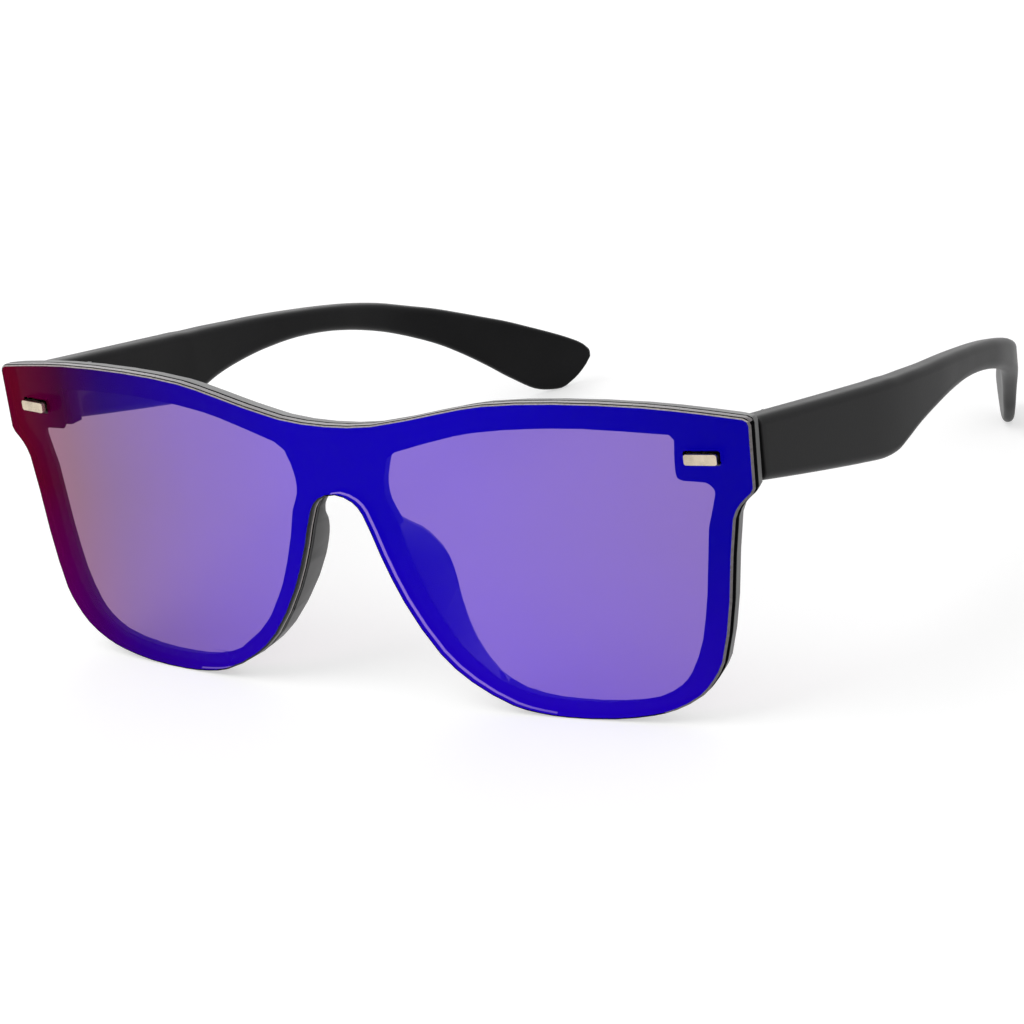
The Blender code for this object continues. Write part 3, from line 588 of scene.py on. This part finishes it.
def curve_through(points, steps):
    """Points along a smooth curve through the given ones, steps to each span."""
    first = [2 * a - b for a, b in zip(points[0], points[1])]
    last = [2 * a - b for a, b in zip(points[-1], points[-2])]
    knots = [Vector(first)] + [Vector(p) for p in points] + [Vector(last)]
    curve = []
    for i in range(1, len(knots) - 2):
        p0, p1, p2, p3 = knots[i - 1:i + 3]
        t1 = math.sqrt((p1 - p0).length)
        t2 = t1 + math.sqrt((p2 - p1).length)
        t3 = t2 + math.sqrt((p3 - p2).length)
        for step in range(steps):
            t = t1 + (t2 - t1) * step / steps
            a1 = p0.lerp(p1, t / t1)
            a2 = p1.lerp(p2, (t - t1) / (t2 - t1))
            a3 = p2.lerp(p3, (t - t2) / (t3 - t2))
            b1 = a1.lerp(a2, t / t2)
            b2 = a2.lerp(a3, (t - t1) / (t3 - t1))
            curve.append(b1.lerp(b2, (t - t1) / (t2 - t1)))
    curve.append(knots[-2])
    return curve


def value_at(rows, share):
    """The second value of a table at a share of the length, straight between its rows."""
    for a, b in zip(rows, rows[1:]):
        if b[0] >= share:
            return a[1] + (b[1] - a[1]) * (share - a[0]) / (b[0] - a[0])
    return rows[-1][1]


def arm_stations(side):
    """Stations along an arm: outer top point, way inwards, height and thickness there."""
    drops = curve_through([row[:2] for row in ARM_PROFILE_SHARES], ARM_FINE_STEPS)
    heights = curve_through([row[::2] for row in ARM_PROFILE_SHARES], ARM_FINE_STEPS)
    steps = ARM_FINE_STEPS * ARM_STATIONS
    place = Vector((ARM_FACE, ARM_FRONT))
    stations = []
    for step in range(steps + 1):
        share = step / steps
        heading = math.radians(value_at(ARM_HEADING_SHARES, share))
        if step % ARM_FINE_STEPS == 0:
            top = ARM_ROOT_TOP - ARM_DROP * value_at(drops, share)
            point = STANCE @ Vector((side * place.x, place.y, top))
            inwards = Vector((-side * math.cos(heading), -math.sin(heading), 0))
            stations.append([point, STANCE.to_3x3() @ inwards,
                             ARM_HEIGHT * value_at(heights, share),
                             ARM_THICKNESS * value_at(ARM_THICKNESS_SHARES, share)])
        place += Vector((-math.sin(heading), math.cos(heading))) * ARM_LENGTH / steps
    return stations


def eased(station, amount):
    """A station's section drawn in by an amount all round."""
    point, inwards, height, thickness = station
    return (point + (inwards - STANCE_UP) * amount, inwards, height - 2 * amount,
            thickness - 2 * amount)


def closed(station):
    """A station's section drawn together to a point at its middle."""
    point, inwards, height, thickness = station
    return point + inwards * thickness / 2 - STANCE_UP * height / 2, inwards, 0, 0


def point_values(mesh, name, kind, values):
    """Stores a value on each point of a mesh."""
    attribute = mesh.attributes.new(name, kind, "POINT")
    flat = values if kind == "FLOAT" else [part for value in values for part in value]
    attribute.data.foreach_set("value" if kind == "FLOAT" else "vector", flat)


def new_tree(name, sockets):
    """A Geometry Nodes tree with the given inputs and one geometry output."""
    tree = bpy.data.node_groups.new(name, "GeometryNodeTree")
    tree.is_modifier = True
    for label, kind in sockets:
        tree.interface.new_socket(label, in_out="INPUT", socket_type=kind)
    tree.interface.new_socket("Geometry", in_out="OUTPUT", socket_type="NodeSocketGeometry")
    return tree, tree.nodes.new("NodeGroupInput"), tree.nodes.new("NodeGroupOutput")


def set_inputs(piece, tree, values):
    """Adds the tree to a piece and sets its named inputs by their identifiers."""
    modifier = piece.modifiers.new(tree.name, "NODES")
    modifier.node_group = tree
    for item in tree.interface.items_tree:
        if item.in_out == "INPUT" and item.name in values:
            modifier[item.identifier] = values[item.name]


def stored(tree, name, kind):
    """A named value stored on the points."""
    return add(tree, "GeometryNodeInputNamedAttribute", {"Name": name},
               data_type=kind).outputs["Attribute"]


def picked(tree, geometry, value, kind, index):
    """A value of one point of a geometry."""
    return add(tree, "GeometryNodeSampleIndex", {
        "Geometry": geometry, "Value": value, "Index": index}, data_type=kind).outputs["Value"]


def arm_tree():
    """Draws an arm's skin through a rounded section at each station."""
    tree, given, result = new_tree("Arm Skin", (
        ("Stations", "NodeSocketGeometry"), ("Section", "NodeSocketObject"),
        ("Edge Radius", "NodeSocketFloat"), ("Up", "NodeSocketVector"),
        ("Turned Over", "NodeSocketBool"), ("Finish", "NodeSocketMaterial")))
    stations = given.outputs["Stations"]
    section = add(tree, "GeometryNodeObjectInfo", {"Object": given.outputs["Section"]})
    section = section.outputs["Geometry"]
    along = add(tree, "GeometryNodeAttributeDomainSize", {"Geometry": stations})
    around = add(tree, "GeometryNodeAttributeDomainSize", {"Geometry": section})
    row = maths(tree, "ADD", around.outputs["Point Count"], 1)
    skin = add(tree, "GeometryNodeMeshGrid", {
        "Vertices X": along.outputs["Point Count"], "Vertices Y": row})
    index = tree.nodes.new("GeometryNodeInputIndex").outputs[0]
    station = maths(tree, "FLOOR", maths(tree, "DIVIDE", maths(tree, "ADD", index, 0.5), row))
    spot = maths(tree, "SUBTRACT", index, maths(tree, "MULTIPLY", station, row))
    spot = maths(tree, "MODULO", spot, around.outputs["Point Count"])
    position = tree.nodes.new("GeometryNodeInputPosition").outputs[0]
    place = picked(tree, stations, position, "FLOAT_VECTOR", station)
    inwards = picked(tree, stations, stored(tree, "inwards", "FLOAT_VECTOR"), "FLOAT_VECTOR",
                     station)
    height = picked(tree, stations, stored(tree, "height", "FLOAT"), "FLOAT", station)
    thickness = picked(tree, stations, stored(tree, "thickness", "FLOAT"), "FLOAT", station)
    corner = picked(tree, section, stored(tree, "corner", "FLOAT_VECTOR"), "FLOAT_VECTOR", spot)
    turn = picked(tree, section, stored(tree, "turn", "FLOAT_VECTOR"), "FLOAT_VECTOR", spot)
    least = maths(tree, "DIVIDE", maths(tree, "MINIMUM", height, thickness), ARM_LEAST_SIDES)
    radius = maths(tree, "MINIMUM", given.outputs["Edge Radius"], least)
    half = add(tree, "ShaderNodeCombineXYZ", {
        0: maths(tree, "SUBTRACT", maths(tree, "DIVIDE", thickness, 2), radius),
        1: maths(tree, "SUBTRACT", maths(tree, "DIVIDE", height, 2), radius)}).outputs[0]
    offset = vector_maths(tree, "ADD", vector_maths(tree, "MULTIPLY", corner, half),
                          scaled(tree, turn, radius))
    offset = add(tree, "ShaderNodeSeparateXYZ", {0: offset})
    across = maths(tree, "SUBTRACT", maths(tree, "DIVIDE", thickness, 2), offset.outputs[0])
    up = maths(tree, "SUBTRACT", offset.outputs[1], maths(tree, "DIVIDE", height, 2))
    moved = vector_maths(tree, "ADD", place, scaled(tree, inwards, across))
    moved = vector_maths(tree, "ADD", moved, scaled(tree, given.outputs["Up"], up))
    placed = add(tree, "GeometryNodeSetPosition", {
        "Geometry": skin.outputs["Mesh"], "Position": moved}).outputs[0]
    sealed = add(tree, "GeometryNodeMergeByDistance", {
        "Geometry": placed, "Distance": SAME_POINT}).outputs[0]
    outwards = add(tree, "GeometryNodeFlipFaces", {
        "Mesh": sealed, "Selection": given.outputs["Turned Over"]}).outputs[0]
    smooth = add(tree, "GeometryNodeSetShadeSmooth", {"Geometry": outwards}).outputs[0]
    whole = add(tree, "GeometryNodeRealizeInstances", {"Geometry": smooth}).outputs[0]
    painted = add(tree, "GeometryNodeSetMaterial", {
        "Geometry": whole, "Material": given.outputs["Finish"]}).outputs[0]
    tree.links.new(painted, result.inputs["Geometry"])
    return tree


def rounded_section():
    """The arms' section: for each point, which corner it is on and which way it turns."""
    signs, turns = [], []
    for quarter, (u, v) in enumerate(((1, 1), (-1, 1), (-1, -1), (1, -1))):
        for step in range(ARM_CORNER_STEPS + 1):
            angle = math.pi / 2 * (quarter + step / ARM_CORNER_STEPS)
            signs.append((u, v, 0))
            turns.append((math.cos(angle), math.sin(angle), 0))
    mesh = bpy.data.meshes.new("arm_section")
    mesh.from_pydata(turns, [], [])
    point_values(mesh, "corner", "FLOAT_VECTOR", signs)
    point_values(mesh, "turn", "FLOAT_VECTOR", turns)
    return new_piece("arm_section", mesh)


def screw_tree():
    """Puts a slotted screw at each point, turned to its own axis and grown to its own size."""
    tree, given, result = new_tree("Slotted Screws", (
        ("Places", "NodeSocketGeometry"), ("Head Sides", "NodeSocketInt"),
        ("Slot Share", "NodeSocketFloat"), ("Finish", "NodeSocketMaterial")))
    sides = given.outputs["Head Sides"]
    cone = add(tree, "GeometryNodeMeshCone", {
        "Vertices": sides, "Radius Top": HEAD_TOP_SHARE, "Radius Bottom": 1,
        "Depth": HEAD_DEPTH_SHARE})
    head = add(tree, "GeometryNodeTransform", {
        "Geometry": cone.outputs["Mesh"], "Translation": (0, 0, -HEAD_DEPTH_SHARE)}).outputs[0]
    slot_size = add(tree, "ShaderNodeCombineXYZ", {
        0: SLOT_LENGTH_SHARE, 1: maths(tree, "MULTIPLY", given.outputs["Slot Share"], 2),
        2: 2 * SLOT_DEPTH_SHARE}).outputs[0]
    bar = add(tree, "GeometryNodeMeshCube", {"Size": slot_size}).outputs["Mesh"]
    cut = add(tree, "GeometryNodeMeshBoolean", {"Mesh 1": head, "Mesh 2": bar},
              operation="DIFFERENCE", solver="EXACT")
    turned = add(tree, "FunctionNodeAlignRotationToVector", {
        "Vector": stored(tree, "outwards", "FLOAT_VECTOR")}, axis="Z").outputs[0]
    spun = add(tree, "FunctionNodeRotateRotation", {
        "Rotation": turned,
        "Rotate By": add(tree, "FunctionNodeAxisAngleToRotation", {
            "Axis": (0, 0, 1), "Angle": stored(tree, "spin", "FLOAT")}).outputs[0]
    }, rotation_space="LOCAL").outputs[0]
    rod = add(tree, "GeometryNodeMeshCylinder", {
        "Vertices": sides, "Radius": 1, "Depth": 1 - SHANK_START_SHARE})
    shank = add(tree, "GeometryNodeTransform", {
        "Geometry": rod.outputs["Mesh"],
        "Translation": (0, 0, -(1 + SHANK_START_SHARE) / 2)}).outputs[0]
    joined = add(tree, "GeometryNodeMeshBoolean", operation="UNION", solver="EXACT")
    for part, size in ((cut.outputs["Mesh"], stored(tree, "radius", "FLOAT")),
                       (shank, stored(tree, "shank_size", "FLOAT_VECTOR"))):
        placed = add(tree, "GeometryNodeInstanceOnPoints", {
            "Points": given.outputs["Places"], "Instance": part, "Rotation": spun,
            "Scale": size}).outputs[0]
        tree.links.new(placed, joined.inputs["Mesh 2"])
    whole = add(tree, "GeometryNodeRealizeInstances", {
        "Geometry": joined.outputs["Mesh"]}).outputs[0]
    painted = add(tree, "GeometryNodeSetMaterial", {
        "Geometry": whole, "Material": given.outputs["Finish"]}).outputs[0]
    tree.links.new(painted, result.inputs["Geometry"])
    return tree


def screw_sizes(node, outwards):
    """The top middle of a CAD screw, its head's radius, and its shank's radii and length."""
    places = [vertex.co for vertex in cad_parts[node].data.vertices]
    ends = []
    for way in (outwards, -outwards):
        most = max(place.dot(way) for place in places)
        face = [place for place in places if place.dot(way) > most - ON_END]
        middle = sum(face, Vector()) / len(face)
        ends.append((middle, max((place - middle).length for place in face)))
    (top, head_radius), (foot, shank_radius) = ends
    return top, head_radius, (shank_radius, shank_radius, (top - foot).length)


def build_screws(name, body, screws, metal, finish, tree):
    """One body's screws, as one mesh: each given as its CAD node and its way out."""
    tops, radii, shanks = zip(*[screw_sizes(node, outwards) for node, outwards in screws])
    mesh = bpy.data.meshes.new(name)
    mesh.from_pydata(tops, [], [])
    point_values(mesh, "outwards", "FLOAT_VECTOR", [outwards for _, outwards in screws])
    point_values(mesh, "radius", "FLOAT", radii)
    point_values(mesh, "shank_size", "FLOAT_VECTOR", shanks)
    point_values(mesh, "spin", "FLOAT",
                 [SPIN_STEP * number + FIRST_SPIN for number in range(len(tops))])
    piece = new_piece(name, mesh)
    set_inputs(piece, tree, {
        "Head Sides": metal.head_sides, "Slot Share": metal.slot_share, "Finish": finish})
    made_plain(piece)
    piece.data.set_sharp_from_angle(angle=SCREW_HARD_ANGLE)
    return finished(piece, body, "screw", *[node for node, _ in screws])


class SUNGLASSES_OT_lens(bpy.types.Operator):
    """Builds the one-piece lens with its mirror film, smoke back and ground edge"""
    bl_idname = "sunglasses.lens"
    bl_label = "Build Lens"

    def execute(self, context):
        settings = context.scene.sunglasses_lens

        def bevel_share(edge):
            x, _, z = on_front((edge.verts[0].co + edge.verts[1].co) / 2)
            in_slot = (SLOT_ENDS[0] < abs(x) < SLOT_ENDS[1]
                       and SLOT_LEVELS[0] < z < SLOT_LEVELS[1])
            return 0 if in_slot else 1

        lens = merged_copy("mirrored_lens", "shield_lens", mirror_film(settings),
                           LENS_POINTS_APART, bevel_share)
        rounded(lens, settings.bevel, "WEIGHT")
        # The edge's lighter copies carry painted light and painted highlights, given to faces by
        # which way they look
        for finish in (smoke_back(settings),
                       ground_edge("ground_edge", settings.edge, shine=0),
                       ground_edge("bare_bevel", settings.bare_bevel, shine=0.3),
                       ground_edge("frosted_edge", settings.painted_light, shine=0.3),
                       ground_edge("side_edge", settings.side, shine=0.1,
                                   painted_lip=settings.bare_bevel)):
            lens.data.materials.append(finish)
        point_values(lens.data, "depth", "FLOAT",
                     [on_front(vertex.co)[1] for vertex in lens.data.vertices])
        for face in lens.data.polygons:
            face.material_index = self.finish_of(face)
        finished(lens, "front", "lens", "shield_lens")
        return {"FINISHED"}

    @staticmethod
    def finish_of(face):
        """Which finish a face has: film, smoke, dark edge, or a lighter copy of the edge: a
        painted highlight on the front bevels that look up, painted light on the walls that look up
        and on the front bevels that face the left arm, and a painted lighter grey on the notch's
        walls and bevels that face the left arm.
        """
        film, smoke, dark, painted_highlight_bevel, painted_light, side = range(6)
        x, _, z = on_front(face.center)
        slope = 2 * WRAP_SAG * x / LENS_HALF_WIDTH ** 2
        ahead = STANCE.to_3x3() @ Vector((slope, -1, 0)).normalized()
        facing = face.normal.dot(ahead)
        if abs(facing) > FACE_ON_SHARE:
            return film if facing > 0 else smoke
        outwards = (face.normal - ahead * facing).normalized()
        in_notch = abs(x) < NOTCH_REACH and z < 0
        # Faces that look up: a painted highlight on the front bevels, painted light on the walls
        if outwards.z > TOP_SHARE:
            if facing > TOP_BEVEL_SHARE:
                return painted_highlight_bevel
            return painted_light if abs(facing) < WALL_SHARE else dark
        # Faces towards the left arm: painted light on the notch's walls and bevels, and on the
        # front bevels elsewhere
        if outwards.x > SIDE_SHARE:
            if in_notch and facing > -WALL_SHARE:
                return side
            return painted_light if facing > WALL_SHARE else dark
        return smoke if in_notch and facing < -WALL_SHARE else dark


class SUNGLASSES_OT_front(bpy.types.Operator):
    """Builds the moulded front frame with its nose pads"""
    bl_idname = "sunglasses.front"
    bl_label = "Build Front Frame"

    def execute(self, context):
        settings = context.scene.sunglasses_front
        plastic = moulded_plastic("satin_black", settings.colour, gloss=0.4, grain=0.12,
                                  shine=0.65)

        def bevel_share(edge):
            places = [on_front(vertex.co) for vertex in edge.verts]
            on_pad = any(abs(x) < NOTCH_REACH and depth > RIM_BACK + PAD_START
                         or abs(x) < PAD_ROOT and z < 0 and depth > RIM_FRONT + ON_LEVEL
                         for x, depth, z in places)
            return 0 if on_pad or edge.calc_length() < settings.rounding else 1

        front = merged_copy("moulded_front", "front_frame", plastic, FRONT_POINTS_APART,
                            bevel_share)
        self.spread_seat(front.data, settings)
        rounded(front, settings.rounding, "WEIGHT")
        # The seat is a black face under the lens; on the walls that face into the eye openings the
        # same dark plastic is painted shade
        front.data.materials.append(
            moulded_plastic("seat_black", settings.seat, gloss=0.6, grain=0.1, shine=0.05))
        for face in front.data.polygons:
            x, depth, z = on_front(face.center)
            to_eye = Vector((math.copysign(EYE_MIDDLE[0], x) - x, 0, EYE_MIDDLE[1] - z))
            is_seat = (depth < RIM_FRONT + SEAT_LEVEL
                       and face.normal.dot(STANCE_BACK) < -SEAT_TURN_SHARE)
            deepest = max(on_front(front.data.vertices[i].co)[1] for i in face.vertices)
            is_pad = abs(x) < NOTCH_REACH and deepest > RIM_BACK + PAD_BODY
            faces_eye = face.normal.dot(to_eye.normalized()) > EYE_TURN_SHARE
            if is_seat or (faces_eye and not is_pad):
                face.material_index = 1
        finished(front, "front", "frame", "front_frame")
        return {"FINISHED"}

    @staticmethod
    def spread_seat(mesh, settings):
        """Brings the lens's seat forward and spreads it out to the lens's wall, to close a gap."""
        solid = bmesh.new()
        solid.from_mesh(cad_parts["shield_lens"].data)
        lens = BVHTree.FromBMesh(solid)
        solid.clear()
        solid.from_mesh(mesh)
        seat = {vertex for vertex in solid.verts
                if abs(on_front(vertex.co)[1] - RIM_FRONT) < ON_LEVEL}
        rim = [max(seat, key=lambda vertex: vertex.co.x)]
        for vertex in rim:
            rim += [other for other in (edge.other_vert(vertex) for edge in vertex.link_edges
                                        if edge.calc_face_angle(0) > HARD_ANGLE)
                    if other in seat and other not in rim]
        moves = {}
        for vertex in rim:
            x, depth, z = on_front(vertex.co)
            walls = [face.normal for face in vertex.link_faces
                     if abs(face.normal.dot(STANCE_BACK)) < WALL_TURN_SHARE]
            outwards = sum(walls, Vector()).normalized()
            reach = lens.ray_cast(vertex.co - STANCE_BACK * (depth - LENS_BACK / 2), outwards,
                                  SEAT_REACH)[3] or 0
            share = min(max(abs(x) / NOTCH_GAP_END, NOTCH_LEAST_SHARE), 1) if z < 0 else 1
            moves[vertex] = outwards * reach * share * settings.flare_share
        for vertex in seat:
            x, _, z = on_front(vertex.co)
            in_notch = abs(x) < NOTCH_REACH and z < 0
            vertex.co -= STANCE_BACK * (settings.notch_fill if in_notch else settings.seat_fill)
            vertex.co += moves.get(vertex, Vector())
        solid.to_mesh(mesh)
        solid.free()


class SUNGLASSES_OT_arms(bpy.types.Operator):
    """Builds both arms with their ear hooks"""
    bl_idname = "sunglasses.arms"
    bl_label = "Build Arms"

    def execute(self, context):
        settings = context.scene.sunglasses_arms
        plastic = moulded_plastic("matte_black", settings.colour, gloss=0.36, grain=0.2,
                                  shine=0.07, sheen=0.05)
        tree = arm_tree()
        section = rounded_section()
        for name, side in SIDES.items():
            stations = arm_stations(side)
            stations[0][0] += STANCE_BACK * settings.root_gap
            root = [closed(stations[0]), eased(stations[0], ARM_ROOT_CHAMFER)]
            stations[0][0] = stations[0][0] + STANCE_BACK * ARM_ROOT_CHAMFER
            stations = root + stations + [closed(stations[-1])]
            mesh = bpy.data.meshes.new(f"{name}_arm_skin")
            mesh.from_pydata([station[0] for station in stations], [], [])
            point_values(mesh, "inwards", "FLOAT_VECTOR", [s[1] for s in stations])
            point_values(mesh, "height", "FLOAT", [s[2] for s in stations])
            point_values(mesh, "thickness", "FLOAT", [s[3] for s in stations])
            arm = new_piece(f"{name}_arm_moulding", mesh)
            set_inputs(arm, tree, {
                "Section": section, "Edge Radius": settings.edge_radius, "Up": STANCE_UP,
                "Turned Over": side < 0, "Finish": plastic})
            arm.modifiers.new("even_shading", "WEIGHTED_NORMAL")
            made_plain(arm)
            finished(arm, f"{name}_arm", "temple", f"temple_{name}")
        bpy.data.objects.remove(section)
        return {"FINISHED"}


class SUNGLASSES_OT_plaques(bpy.types.Operator):
    """Builds the two champagne plaques on the front"""
    bl_idname = "sunglasses.plaques"
    bl_label = "Build Plaques"

    def execute(self, context):
        metal = context.scene.sunglasses_metal
        satin = drawn_metal("satin_champagne", metal.plaque, gloss=0.28, grain=0.1,
                            stretch=(300, 5200, 5200))
        for name in SIDES:
            plaque = merged_copy(f"{name}_bar", f"plaque_{name}", satin)
            rounded(plaque, metal.rounding, "ANGLE")
            finished(plaque, "front", "plaque", f"plaque_{name}")
        return {"FINISHED"}


class SUNGLASSES_OT_hinges(bpy.types.Operator):
    """Builds the hinge leaves with their knuckles"""
    bl_idname = "sunglasses.hinges"
    bl_label = "Build Hinges"

    def execute(self, context):
        metal = context.scene.sunglasses_metal
        coated = drawn_metal("coated_steel", metal.hinge, gloss=0.35, grain=0.08,
                             stretch=(2600, 2600, 500))
        for name in SIDES:
            for kind, body in (("front", "front"), ("temple", f"{name}_arm")):
                node = f"hinge_{kind}_leaf_{name}"
                leaf = merged_copy(f"{name}_{kind}_leaf", node, coated)
                rounded(leaf, metal.rounding, "ANGLE")
                finished(leaf, body, "hinge", node)
        return {"FINISHED"}


class SUNGLASSES_OT_screws(bpy.types.Operator):
    """Builds the hinge screws and the leaf screws with slotted heads"""
    bl_idname = "sunglasses.screws"
    bl_label = "Build Screws"

    def execute(self, context):
        metal = context.scene.sunglasses_metal
        steel = drawn_metal("bright_steel", metal.steel, gloss=0.24, grain=0.06,
                            stretch=(1800, 1800, 1800))
        tree = screw_tree()
        front = []
        for name, side in SIDES.items():
            front.append((f"hinge_screw_{name}", STANCE_UP))
            front += [(f"front_leaf_screw_{name}_{end}", STANCE_BACK)
                      for end in ("upper", "lower")]
            inwards = Vector((-side, 0, 0))
            arm = [(f"temple_leaf_screw_{name}_{end}", inwards) for end in ("front", "rear")]
            build_screws(f"{name}_arm_screws", f"{name}_arm", arm, metal, steel, tree)
        build_screws("front_screws", "front", front, metal, steel, tree)
        return {"FINISHED"}


class SUNGLASSES_OT_stage(bpy.types.Operator):
    """Sets the white table, the soft lamps, the white surroundings and the camera"""
    bl_idname = "sunglasses.stage"
    bl_label = "Set Stage"

    def execute(self, context):
        settings = context.scene.sunglasses_stage
        scene = context.scene
        half = settings.table_size / 2
        mesh = bpy.data.meshes.new("table")
        mesh.from_pydata([(-half, -half, 0), (half, -half, 0), (half, half, 0), (-half, half, 0)],
                         [], [(0, 1, 2, 3)])
        mesh.materials.append(white_table())
        new_piece("table", mesh)
        for name, place, power in LAMPS:
            lamp = bpy.data.lights.new(name, "AREA")
            lamp.size = LAMP_SIZE
            lamp.energy = getattr(settings, power)
            holder = bpy.data.objects.new(name, lamp)
            scene.collection.objects.link(holder)
            holder.location = place
            holder.rotation_euler = Vector(place).to_track_quat("Z", "Y").to_euler()
            holder.visible_camera = False
            holder.visible_glossy = name == "back_lamp"
        scene.world = white_world(settings.world_level)
        camera = bpy.data.cameras.new("camera")
        camera.lens = CAMERA_LENS_MM
        camera.sensor_width = CAMERA_FILM_MM
        camera.clip_start = CAMERA_NEAR
        holder = bpy.data.objects.new("camera", camera)
        scene.collection.objects.link(holder)
        holder.matrix_world = CAMERA_PLACE
        scene.camera = holder
        scene.view_settings.view_transform = "Standard"
        return {"FINISHED"}


OPERATORS = (
    SUNGLASSES_OT_lens, SUNGLASSES_OT_front, SUNGLASSES_OT_plaques, SUNGLASSES_OT_hinges,
    SUNGLASSES_OT_screws, SUNGLASSES_OT_arms, SUNGLASSES_OT_stage,
)
SETTINGS = {
    "sunglasses_lens": LensSettings, "sunglasses_front": FrontSettings,
    "sunglasses_arms": ArmSettings, "sunglasses_metal": MetalSettings,
    "sunglasses_stage": StageSettings,
}


class SUNGLASSES_PT_pieces(bpy.types.Panel):
    """Lists the pieces of the sunglasses"""
    bl_idname = "SUNGLASSES_PT_pieces"
    bl_label = "Sunglasses"
    bl_space_type = "VIEW_3D"
    bl_region_type = "UI"
    bl_category = "Sunglasses"

    def draw(self, context):
        for operator in OPERATORS:
            self.layout.operator(operator.bl_idname)
        for name, group in SETTINGS.items():
            box = self.layout.box()
            for setting in group.__annotations__:
                box.prop(getattr(context.scene, name), setting)


def register():
    """Registers the settings, the operators and the panel."""
    for name, group in SETTINGS.items():
        bpy.utils.register_class(group)
        setattr(bpy.types.Scene, name, PointerProperty(type=group))
    for operator in OPERATORS:
        bpy.utils.register_class(operator)
    bpy.utils.register_class(SUNGLASSES_PT_pieces)


def unregister():
    """Removes the panel, the operators and the settings."""
    bpy.utils.unregister_class(SUNGLASSES_PT_pieces)
    for operator in OPERATORS:
        bpy.utils.unregister_class(operator)
    for name, group in SETTINGS.items():
        delattr(bpy.types.Scene, name)
        bpy.utils.unregister_class(group)


def main():
    """Builds every piece and the stage."""
    register()
    for operator in OPERATORS:
        getattr(bpy.ops.sunglasses, operator.bl_idname.split(".")[1])()


if __name__ == "__main__":
    main()
